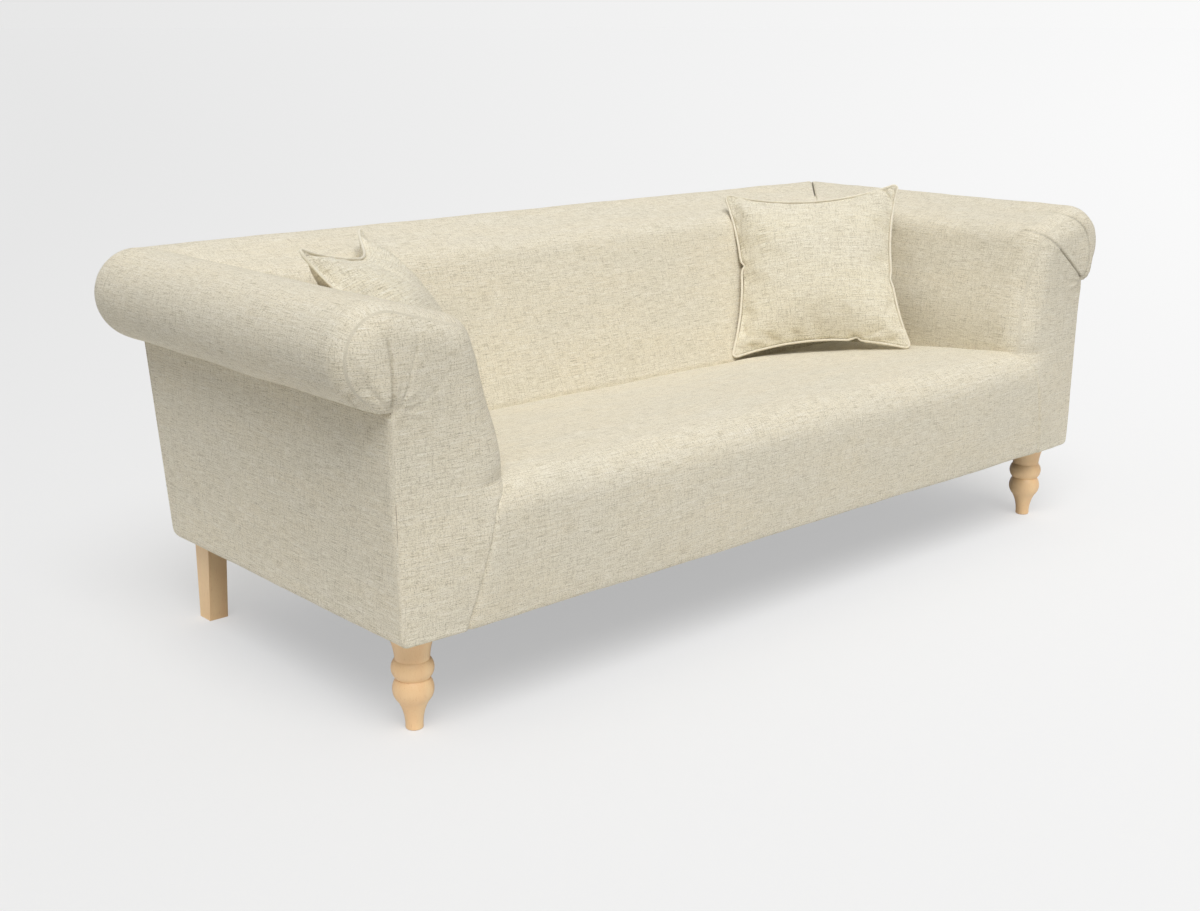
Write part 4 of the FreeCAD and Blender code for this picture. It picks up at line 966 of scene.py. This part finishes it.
def runTree(piece, tree, values):
    # sets the inputs by identifier, keeps the result as a plain mesh and drops the modifier
    modifier = piece.modifiers.new(tree.name, "NODES")
    modifier.node_group = tree
    for item in tree.interface.items_tree:
        if item.item_type == "SOCKET" and item.in_out == "INPUT" and item.name in values:
            modifier[item.identifier] = values[item.name]
    piece.update_tag()
    depsgraph = bpy.context.evaluated_depsgraph_get()
    depsgraph.update()
    made = bpy.data.meshes.new_from_object(
        piece.evaluated_get(depsgraph), preserve_all_data_layers=True, depsgraph=depsgraph
    )
    piece.modifiers.clear()
    piece.data = made
    return piece


def loopPiece(name, points):
    # a closed line of edges
    mesh = bpy.data.meshes.new(name)
    edges = [(index, (index + 1) % len(points)) for index in range(len(points))]
    mesh.from_pydata([tuple(point) for point in points], edges, [])
    return newObject(name, mesh)


def buildPipingTree():
    # a round cord of cloth along a line, with cloth coordinates of its own
    tree, given, out = newGeometryTree("pipingAlongSeam", [
        ("Radius", "NodeSocketFloat", 0.0035),
        ("Sides", "NodeSocketInt", 12),
        ("Material", "NodeSocketMaterial", None),
    ])
    toCurve = tree.nodes.new("GeometryNodeMeshToCurve")
    circle = tree.nodes.new("GeometryNodeCurvePrimitiveCircle")
    sweep = tree.nodes.new("GeometryNodeCurveToMesh")
    joined = tree.nodes.new("ShaderNodeCombineXYZ")
    cloth = tree.nodes.new("GeometryNodeStoreNamedAttribute")
    shade = tree.nodes.new("GeometryNodeSetShadeSmooth")
    cloth.data_type = "FLOAT2"
    cloth.domain = "CORNER"
    cloth.inputs["Name"].default_value = "UVMap"
    joinUp(tree, (given, "Geometry", toCurve, 0), (given, "Radius", circle, "Radius"),
           (given, "Sides", circle, "Resolution"))
    ways = (("along", toCurve, "Curve"), ("around", circle, "Profile Curve"))
    for axis, (label, curve, into) in enumerate(ways):
        path = tree.nodes.new("GeometryNodeSplineParameter")
        keep = tree.nodes.new("GeometryNodeStoreNamedAttribute")
        keep.data_type = "FLOAT"
        keep.domain = "POINT"
        keep.inputs["Name"].default_value = label
        read = tree.nodes.new("GeometryNodeInputNamedAttribute")
        read.data_type = "FLOAT"
        read.inputs["Name"].default_value = label
        joinUp(tree, (curve, 0, keep, "Geometry"), (path, "Length", keep, "Value"), (keep, 0, sweep, into),
               (read, "Attribute", joined, axis))
    joinUp(tree, (sweep, 0, cloth, "Geometry"), (joined, 0, cloth, "Value"), (cloth, 0, shade, "Geometry"))
    finishTree(tree, given, out, shade.outputs[0])
    return tree


def buildStapleTree():
    # small wire staples spaced along a line, lying across it at a slight random turn
    tree, given, out = newGeometryTree("staplesAlongLine", [
        ("Spacing", "NodeSocketFloat", 0.055),
        ("Width", "NodeSocketFloat", 0.010),
        ("Wire", "NodeSocketFloat", 0.0009),
        ("Seed", "NodeSocketInt", 4),
        ("Material", "NodeSocketMaterial", None),
    ])
    toCurve = tree.nodes.new("GeometryNodeMeshToCurve")
    spread = tree.nodes.new("GeometryNodeResampleCurve")
    spread.mode = "LENGTH"
    place = tree.nodes.new("GeometryNodeInstanceOnPoints")
    wire = tree.nodes.new("GeometryNodeMeshCube")
    size = tree.nodes.new("ShaderNodeCombineXYZ")
    tangent = tree.nodes.new("GeometryNodeInputTangent")
    align = tree.nodes.new("FunctionNodeAlignEulerToVector")
    align.axis = "X"
    wobble = tree.nodes.new("FunctionNodeRandomValue")
    wobble.data_type = "FLOAT"
    wobble.inputs[2].default_value = -0.35
    wobble.inputs[3].default_value = 0.35
    turn = tree.nodes.new("ShaderNodeCombineXYZ")
    rotate = tree.nodes.new("FunctionNodeRotateEuler")
    rotate.space = "LOCAL"
    joinUp(tree, (given, "Geometry", toCurve, 0), (toCurve, 0, spread, "Curve"),
           (given, "Spacing", spread, "Length"), (given, "Width", size, 0), (given, "Wire", size, 1),
           (given, "Wire", size, 2), (size, 0, wire, "Size"), (given, "Seed", wobble, "Seed"),
           (wobble, 1, turn, 2), (tangent, 0, align, "Vector"), (align, 0, rotate, "Rotation"),
           (turn, 0, rotate, "Rotate By"), (spread, 0, place, "Points"), (wire, "Mesh", place, "Instance"),
           (rotate, 0, place, "Rotation"))
    finishTree(tree, given, out, place.outputs[0])
    return tree


pipingTree = buildPipingTree()
stapleTree = buildStapleTree()

# scatter cushions, inflated by a cloth simulation inside a pinned seam
cushionShape = {
    "half": 0.2084, "sideMiddle": 0.1750, "cornerRound": 0.07, "cells": 52,
    "startThick": 0.050, "pressure": 5.0, "spare": -0.035, "frames": 22, "limit": 0.030,
    "pipingRadius": 0.0030, "pipingGap": -0.0014, "tickBend": 0.86, "puff": 0.0025, "puffSize": 0.09,
    "ridge": 0.004, "ridgeWidth": 0.10,
}
# places are the cushion centres; dents are edge, place along it, depth and width
cushionPoses = {
    -1: {"side": "left", "turn": 42.8, "lean": 30.8, "roll": -5.1, "place": (-0.6380, 0.0190, 0.5966),
         "thick": 0.0772, "size": 1.0,
         "tips": {(-1, 1): (-0.0083, 0.0214, -0.0290), (1, 1): (-0.0085, 0.0389, -0.0265)},
         "dents": [("right", -0.2, 0.004, 0.06), ("bottom", 0.3, 0.004, 0.06)], "seed": 31},
    1: {"side": "right", "turn": -48.7, "lean": 30.0, "roll": 4.7, "place": (0.592, 0.0225, 0.6033),
        "thick": 0.0660, "size": 1.035,
        "tips": {(-1, 1): (0, 0, 0), (1, 1): (0, 0, 0)},
        "dents": [("left", 0.10, 0.009, 0.04), ("right", -0.16, 0.005, 0.06), ("bottom", 0.40, 0.010, 0.04)],
        "seed": 47},
}


def squareToCushion(u, v, dents):
    shape = cushionShape
    limit = 1 - shape["cornerRound"]
    q = np.clip((np.abs(u) - limit) / shape["cornerRound"], 0, 1)
    r = np.clip((np.abs(v) - limit) / shape["cornerRound"], 0, 1)
    inCorner = (q > 0) & (r > 0)
    u = np.where(inCorner, np.sign(u) * (limit + shape["cornerRound"] * q * np.sqrt(1 - r**2 / 2)), u)
    v = np.where(inCorner, np.sign(v) * (limit + shape["cornerRound"] * r * np.sqrt(1 - q**2 / 2)), v)
    pinch = 1 - shape["sideMiddle"] / shape["half"]
    x = shape["half"] * u * (1 - pinch * (1 - v**2))
    y = shape["half"] * v * (1 - pinch * (1 - u**2))
    for edge, place, depth, width in dents:
        sign = 1 if edge in ("right", "top") else -1
        sideways = edge in ("left", "right")
        across, along = (u, v) if sideways else (v, u)
        near = np.clip(sign * across, 0, 1) ** 12 * np.exp(-((along - place) / width) ** 2)
        if sideways:
            x = x - sign * depth * near
        else:
            y = y - sign * depth * near
    return x, y


def startCushion(name, dents):
    shape = cushionShape
    cells = shape["cells"]
    bend = shape["tickBend"]
    ticks = np.sin(np.linspace(-1, 1, cells + 1) * math.pi / 2 * bend) / math.sin(math.pi / 2 * bend)
    u, v = np.meshgrid(ticks, ticks, indexing="ij")
    x, y = squareToCushion(u, v, dents)
    full = np.sqrt(np.clip((1 - u**2) * (1 - v**2), 0, 1)) * shape["startThick"]
    front = np.stack([x, y, full], -1).reshape(-1, 3)
    rim = (np.abs(u) > 0.9999) | (np.abs(v) > 0.9999)
    rimFlat = rim.ravel()
    backIndex = np.where(rimFlat, np.arange(rimFlat.size), -1)
    inner = np.where(~rimFlat)[0]
    backIndex[inner] = rimFlat.size + np.arange(len(inner))
    back = front[inner] * np.array([1, 1, -1])
    points = np.vstack([front, back])
    faces = []
    size = cells + 1
    for row in range(cells):
        for column in range(cells):
            a, b = row * size + column, (row + 1) * size + column
            faces.append((a, b, b + 1, a + 1))
            faces.append((backIndex[a], backIndex[a + 1], backIndex[b + 1], backIndex[b]))
    ring = list(range(cells))
    ring += [row * size + cells for row in range(cells)]
    ring += [cells * size + column for column in range(cells, 0, -1)]
    ring += [row * size for row in range(cells, 0, -1)]
    piece = meshPiece(name, points, faces, points[:, :2], cushionCloth)
    faceOutwards(piece, (0, 0, 0))
    return piece, ring, np.where(rimFlat)[0]


def inflate(piece, rim):
    shape = cushionShape
    group = piece.vertex_groups.new(name="seam")
    group.add([int(index) for index in rim], 1.0, "REPLACE")
    before = vertexArrays(piece)[0].copy()
    cloth = piece.modifiers.new("cloth", "CLOTH")
    settings = cloth.settings
    settings.quality = 6
    settings.mass = 0.25
    settings.tension_stiffness = 18
    settings.compression_stiffness = 18
    settings.shear_stiffness = 7
    settings.bending_stiffness = 0.35
    settings.air_damping = 2.0
    settings.use_pressure = True
    settings.uniform_pressure_force = shape["pressure"]
    settings.shrink_min = shape["spare"]
    settings.vertex_group_mass = "seam"
    settings.effector_weights.gravity = 0
    cloth.collision_settings.use_collision = False
    cloth.point_cache.frame_start = 1
    cloth.point_cache.frame_end = shape["frames"]
    scene = bpy.context.scene
    for step in range(1, shape["frames"] + 1):
        scene.frame_set(step)
    depsgraph = bpy.context.evaluated_depsgraph_get()
    made = piece.evaluated_get(depsgraph).to_mesh()
    after = np.empty(len(made.vertices) * 3)
    made.vertices.foreach_get("co", after)
    after = after.reshape(-1, 3)
    piece.evaluated_get(depsgraph).to_mesh_clear()
    piece.modifiers.remove(cloth)
    piece.vertex_groups.clear()
    scene.frame_set(1)
    move = after - before
    far = np.linalg.norm(move, axis=1)
    move *= np.minimum(1, shape["limit"] / np.maximum(far, 1e-9))[:, None]
    setPoints(piece, before + move)
    print("cushion inflated, furthest move", round(float(far.max()), 4))


def makeCushion(hand):
    shape = cushionShape
    pose = cushionPoses[hand]
    piece, ring, rim = startCushion(f"{pose['side']}Cushion", pose["dents"])
    inflate(piece, rim)
    points = vertexArrays(piece)[0].copy()
    points[:, 2] *= pose["thick"] / np.abs(points[:, 2]).max()
    u = points[:, 0] / shape["half"]
    v = points[:, 1] / shape["half"]
    edge = np.maximum(np.abs(u), np.abs(v))
    puff = softNoise(points, shape["puffSize"], pose["seed"])
    points[:, 2] += shape["puff"] * puff * (1 - smooth(edge, 0.7, 0.95))
    ridge = np.abs(np.abs(u) - np.abs(v))
    toCorner = smooth(np.minimum(np.abs(u), np.abs(v)), 0.45, 0.85) * (1 - smooth(edge, 0.9, 0.99))
    ridge = np.exp(-(ridge / shape["ridgeWidth"]) ** 2)
    points[:, 2] += np.sign(points[:, 2]) * shape["ridge"] * ridge * toCorner
    for (signU, signV), shift in pose["tips"].items():
        near = smooth(signU * u, 0.0, 1.0) * smooth(signV * v, 0.1, 1.0)
        points += near[:, None] * np.array(shift)
    points[:, :2] *= pose["size"]
    seam = points[ring]
    turn = Matrix.Rotation(math.radians(pose["turn"]), 4, "Z")
    lean = Matrix.Rotation(math.radians(90 - pose["lean"]), 4, "X")
    roll = Matrix.Rotation(math.radians(pose["roll"]), 4, "Z")
    place = np.array(Matrix.Translation(pose["place"]) @ turn @ lean @ roll)
    ahead = np.roll(seam, -1, axis=0) - np.roll(seam, 1, axis=0)
    aside = np.stack([ahead[:, 1], -ahead[:, 0], np.zeros(len(seam))], 1)
    aside /= np.linalg.norm(aside, axis=1)[:, None]
    if (aside * seam).sum() < 0:
        aside = -aside
    cord = seam + aside * (shape["pipingRadius"] + shape["pipingGap"])
    setPoints(piece, points @ place[:3, :3].T + place[:3, 3])
    fine = piece.modifiers.new("fine", "SUBSURF")
    fine.levels = 1
    fine.render_levels = 1
    fine.boundary_smooth = "PRESERVE_CORNERS"
    piping = loopPiece(f"{pose['side']}CushionPiping", cord @ place[:3, :3].T + place[:3, 3])
    runTree(piping, pipingTree, {"Radius": shape["pipingRadius"], "Sides": 12, "Material": pipingCloth})
    side = pose["side"]
    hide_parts(f"{side}_cushion_cover", f"{side}_cushion_pad")
    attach(piece, f"{side}_cushion")
    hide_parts(f"{side}_cushion_piping")
    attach(piping, f"{side}_cushion")


makeCushion(-1)
makeCushion(1)
print("cushions made")


# woods, metals and the hidden cloths
def wood(name, finish):
    material, tree, shader = newMaterial(
        name, finish["roughness"], Coat_Weight=finish["coat"], Coat_Roughness=0.35
    )
    place = tree.nodes.new("ShaderNodeTexCoord")
    grain = tree.nodes.new("ShaderNodeGroup")
    grain.node_tree = grainGroup
    grain.inputs["Rings"].default_value = finish["rings"]
    turned = addNode(tree, "ShaderNodeMapping", Rotation=finish["turn"])
    tree.links.new(place.outputs["Object"], turned.inputs["Vector"])
    tree.links.new(turned.outputs[0], grain.inputs["Vector"])
    bands = mixColour(tree, grain.outputs["Bands"], finish["dark"], finish["light"])
    flecks = mathNode(tree, "MULTIPLY", grain.outputs["Flecks"], 0.35)
    tree.links.new(mixColour(tree, flecks, bands, finish["fleck"]), shader.inputs["Base Color"])
    dull, bright = finish["roughness"] + 0.08, finish["roughness"] - 0.06
    rough = rangeNode(tree, grain.outputs["Bands"], 0.0, 1.0, dull, bright)
    tree.links.new(rough, shader.inputs["Roughness"])
    bumpInto(tree, shader, grain.outputs["Height"], finish["bump"], 0.0004)
    return material


def steel(name, colour, roughness):
    material, tree, shader = newMaterial(name, roughness, Metallic=1.0)
    place = tree.nodes.new("ShaderNodeTexCoord")
    marks = stretchedNoise(tree, place.outputs["Object"], (300, 300, 300), 3.0)
    dark = tuple(level * 0.8 for level in colour)
    tree.links.new(mixColour(tree, marks, dark, colour), shader.inputs["Base Color"])
    rough = rangeNode(tree, marks, 0.3, 0.7, roughness - 0.08, roughness + 0.12)
    tree.links.new(rough, shader.inputs["Roughness"])
    return material


def feltedCloth(name, colour, dark, scale, bump):
    # unwoven or plain cloths, foams and boards
    material, tree, shader = newMaterial(name, 0.95, Specular_IOR_Level=0.2)
    place = tree.nodes.new("ShaderNodeTexCoord")
    fibres = stretchedNoise(tree, place.outputs["Object"], scale, 4.0, 0.65)
    tone = mixColour(tree, rangeNode(tree, fibres, 0.3, 0.7), dark, colour)
    tree.links.new(tone, shader.inputs["Base Color"])
    bumpInto(tree, shader, fibres, bump, 0.0008)
    return material


beech = {"light": linear(251, 217, 167), "dark": linear(243, 200, 150), "fleck": linear(214, 166, 118),
         "rings": 130.0, "roughness": 0.42, "coat": 0.12, "turn": (0, 0, 0), "bump": 0.15}
timber = {**beech, "light": linear(226, 196, 150), "dark": linear(196, 158, 112), "roughness": 0.75,
          "coat": 0.0, "turn": (0, math.pi / 2, 0), "bump": 0.4}
# hidden cloths, foams and boards: lighter and darker tone, how fine they are along each axis, bump
felted = {
    "hardboard": ((140, 104, 74), (112, 82, 58), (500, 500, 500), 0.2),
    "card_tube": ((190, 164, 128), (168, 142, 108), (30, 400, 400), 0.2),
    "foam": ((238, 232, 212), (222, 214, 190), (260, 260, 260), 0.5),
    "cushion_filling": ((240, 240, 236), (226, 226, 220), (180, 180, 180), 0.4),
    "hessian_cloth": ((186, 158, 112), (150, 122, 82), (700, 700, 60), 0.8),
    "webbing_strap": ((92, 80, 68), (64, 56, 48), (600, 600, 80), 0.8),
    "dust_cloth": ((58, 58, 60), (40, 40, 42), (900, 900, 900), 0.5),
}
finishes = {
    "leg_beech": wood("legBeech", beech),
    "frame_timber": wood("frameTimber", timber),
    "spring_steel": steel("springSteel", linear(120, 122, 126), 0.38),
    "zinc_steel": steel("zincSteel", linear(196, 198, 200), 0.32),
    "sofa_cloth": sofaCloth, "cushion_cloth": cushionCloth, "piping_cloth": pipingCloth,
}
for slotName, (lighter, darker, scale, bump) in felted.items():
    first, *others = slotName.split("_")
    label = first + "".join(word.title() for word in others)
    finishes[slotName] = feltedCloth(label, linear(*lighter), linear(*darker), scale, bump)
for nodeName, node in cadNodes.items():
    for place in node.material_slots:
        place.material = finishes[slotOfNode[nodeName]]
print("finishes given to the frame's nodes")

# dust cover under the frame, with its staples
dustShape = {"halfWidth": 0.985, "front": 0.008, "rear": 0.774, "height": 0.1836, "sag": 0.0022,
             "columns": 150, "rows": 64, "stapleInset": 0.012, "stapleSpacing": 0.055}


def makeDustCover():
    shape = dustShape
    xs = np.linspace(-shape["halfWidth"], shape["halfWidth"], shape["columns"] + 1)
    ys = np.linspace(shape["front"], shape["rear"], shape["rows"] + 1)
    x, y = (grid.ravel() for grid in np.meshgrid(xs, ys, indexing="ij"))
    points = np.stack([x, y, np.full(len(x), shape["height"])], 1)
    fromEdge = np.minimum(shape["halfWidth"] - np.abs(x), np.minimum(y - shape["front"], shape["rear"] - y))
    free = smooth(fromEdge, 0.03, 0.16)
    points[:, 2] -= shape["sag"] * free * (1 + 0.8 * softNoise(points, 0.18, 61))
    points[:, 1] += sofa["frontLine"]
    faces = gridFaces(shape["columns"] + 1, shape["rows"] + 1)
    piece = meshPiece("dustCover", points, faces, points[:, :2], finishes["dust_cloth"])
    if piece.data.polygons[0].normal.z > 0:
        piece.data.flip_normals()
    addThickness(piece, 0.0006)
    inset = shape["stapleInset"]
    right, front, rear = shape["halfWidth"] - inset, shape["front"] + inset, shape["rear"] - inset
    corners = [(-right, front), (right, front), (right, rear), (-right, rear)]
    path = [(cx, cy + sofa["frontLine"], shape["height"] - 0.0004) for cx, cy in corners]
    staples = loopPiece("dustCoverStaples", path)
    runTree(staples, stapleTree, {"Spacing": shape["stapleSpacing"], "Material": finishes["zinc_steel"]})
    return piece, staples


dustCover, dustStaples = makeDustCover()
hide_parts("dust_cover")
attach(dustCover, "sofa")
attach(dustStaples, "sofa")
print("dust cover made")

# camera, floor and light
camera = newObject("camera", bpy.data.cameras.new("camera"))
camera.data.lens = 46.75
camera.data.sensor_width = 36
camera.location = (-2.3669, -2.4782, 1.1877)
camera.rotation_euler = (math.radians(74.564), 0, math.radians(-41.875))
bpy.context.scene.camera = camera

# left and right paint a light falloff on the floor and the backdrop seen by the camera: darker to the left of
# the view, lighter to the right
room = {"left": linear(231, 231, 231), "right": linear(250, 250, 250), "spread": 0.36, "nearReach": 7.2,
        "level": 1.0, "shadowKept": 0.48, "bounceNear": linear(240, 240, 240),
        "bounceFar": linear(150, 150, 150), "bounceReach": (1.3, 3.2),
        "horizon": linear(150, 150, 150), "horizonTop": 0.75,
        "sky": 0.46, "sun": 2.17, "sunAngle": 42, "sunFrom": (-0.27, -0.44, 0.856),
        "toRight": (0.745, 0.667), "floorReach": 600, "floorDrop": 0.0003}


def acrossView(tree, vector):
    # how far to the right of the camera's view a point or a direction lies, and its parts
    split = tree.nodes.new("ShaderNodeSeparateXYZ")
    tree.links.new(vector, split.inputs[0])
    east, north = [mathNode(tree, "MULTIPLY", split.outputs[k], room["toRight"][k]) for k in range(2)]
    return mathNode(tree, "SUBTRACT", east, north), split


def mixShaders(tree, factor, first, second, surface):
    mixed = tree.nodes.new("ShaderNodeMixShader")
    for index, value in enumerate((factor, first, second)):
        tree.links.new(value, mixed.inputs[index])
    tree.links.new(mixed.outputs[0], surface)


def makeFloor():
    mesh = bpy.data.meshes.new("floor")
    reach = room["floorReach"]
    corners = [(-reach, -reach, 0), (reach, -reach, 0), (reach, reach, 0), (-reach, reach, 0)]
    mesh.from_pydata(corners, [], [(0, 1, 2, 3)])
    floor = newObject("floor", mesh)
    floor.location.z = -room["floorDrop"]
    material, tree, shader = newMaterial("paleFloor", 0.95, Specular_IOR_Level=0.0)
    place = tree.nodes.new("ShaderNodeTexCoord")
    across = acrossView(tree, place.outputs["Object"])[0]
    # the painted light falloff, darker to the left of the view and lighter to the right, turns with the
    # direction far away, as the world's does, so the horizon doesn't show
    length = tree.nodes.new("ShaderNodeVectorMath")
    length.operation = "LENGTH"
    tree.links.new(place.outputs["Object"], length.inputs[0])
    far = length.outputs["Value"]
    reached = mathNode(tree, "SQRT", mathNode(tree, "MULTIPLY_ADD", far, far, room["nearReach"]**2))
    shift = rangeNode(tree, mathNode(tree, "DIVIDE", across, reached), -room["spread"], room["spread"])
    colour = mixColour(tree, shift, room["left"], room["right"])
    seen = tree.nodes.new("ShaderNodeLightPath").outputs["Is Camera Ray"]
    fade = rangeNode(tree, far, *room["bounceReach"])
    bounce = mixColour(tree, fade, room["bounceNear"], room["bounceFar"])
    tree.links.new(mixColour(tree, seen, bounce, colour), shader.inputs["Base Color"])
    glow = addNode(tree, "ShaderNodeEmission", Strength=room["level"])
    tree.links.new(colour, glow.inputs["Color"])
    lift = mathNode(tree, "MULTIPLY", seen, 1 - room["shadowKept"])
    surface = tree.nodes["Material Output"].inputs["Surface"]
    mixShaders(tree, lift, shader.outputs[0], glow.outputs[0], surface)
    mesh.materials.append(material)


def makeWorld():
    world = bpy.data.worlds.new("studio")
    bpy.context.scene.world = world
    world.use_nodes = True
    tree = world.node_tree
    tree.nodes.clear()
    out = tree.nodes.new("ShaderNodeOutputWorld")
    soft = addNode(tree, "ShaderNodeBackground", Strength=room["sky"])
    seen = addNode(tree, "ShaderNodeBackground", Strength=room["level"])
    across, split = acrossView(tree, tree.nodes.new("ShaderNodeTexCoord").outputs["Generated"])
    height = rangeNode(tree, split.outputs[2], 0.0, room["horizonTop"])
    tree.links.new(mixColour(tree, height, room["horizon"], (1, 1, 1, 1)), soft.inputs["Color"])
    # painted light falloff on the backdrop seen by the camera, darker to the left and lighter to the right
    shift = rangeNode(tree, across, -room["spread"], room["spread"])
    tree.links.new(mixColour(tree, shift, room["left"], room["right"]), seen.inputs["Color"])
    rays = tree.nodes.new("ShaderNodeLightPath")
    looks = mathNode(tree, "MAXIMUM", rays.outputs["Is Camera Ray"], rays.outputs["Is Glossy Ray"])
    looks = mathNode(tree, "MAXIMUM", looks, rays.outputs["Is Transmission Ray"])
    mixShaders(tree, looks, soft.outputs[0], seen.outputs[0], out.inputs["Surface"])


def makeSun():
    lamp = bpy.data.lights.new("softKey", "SUN")
    lamp.energy = room["sun"]
    lamp.angle = math.radians(room["sunAngle"])
    sun = newObject("softKey", lamp)
    sun.rotation_euler = Vector(room["sunFrom"]).to_track_quat("Z", "Y").to_euler()


makeFloor()
makeWorld()
makeSun()
bpy.context.scene.view_settings.view_transform = "Standard"
print("camera, floor and light set")
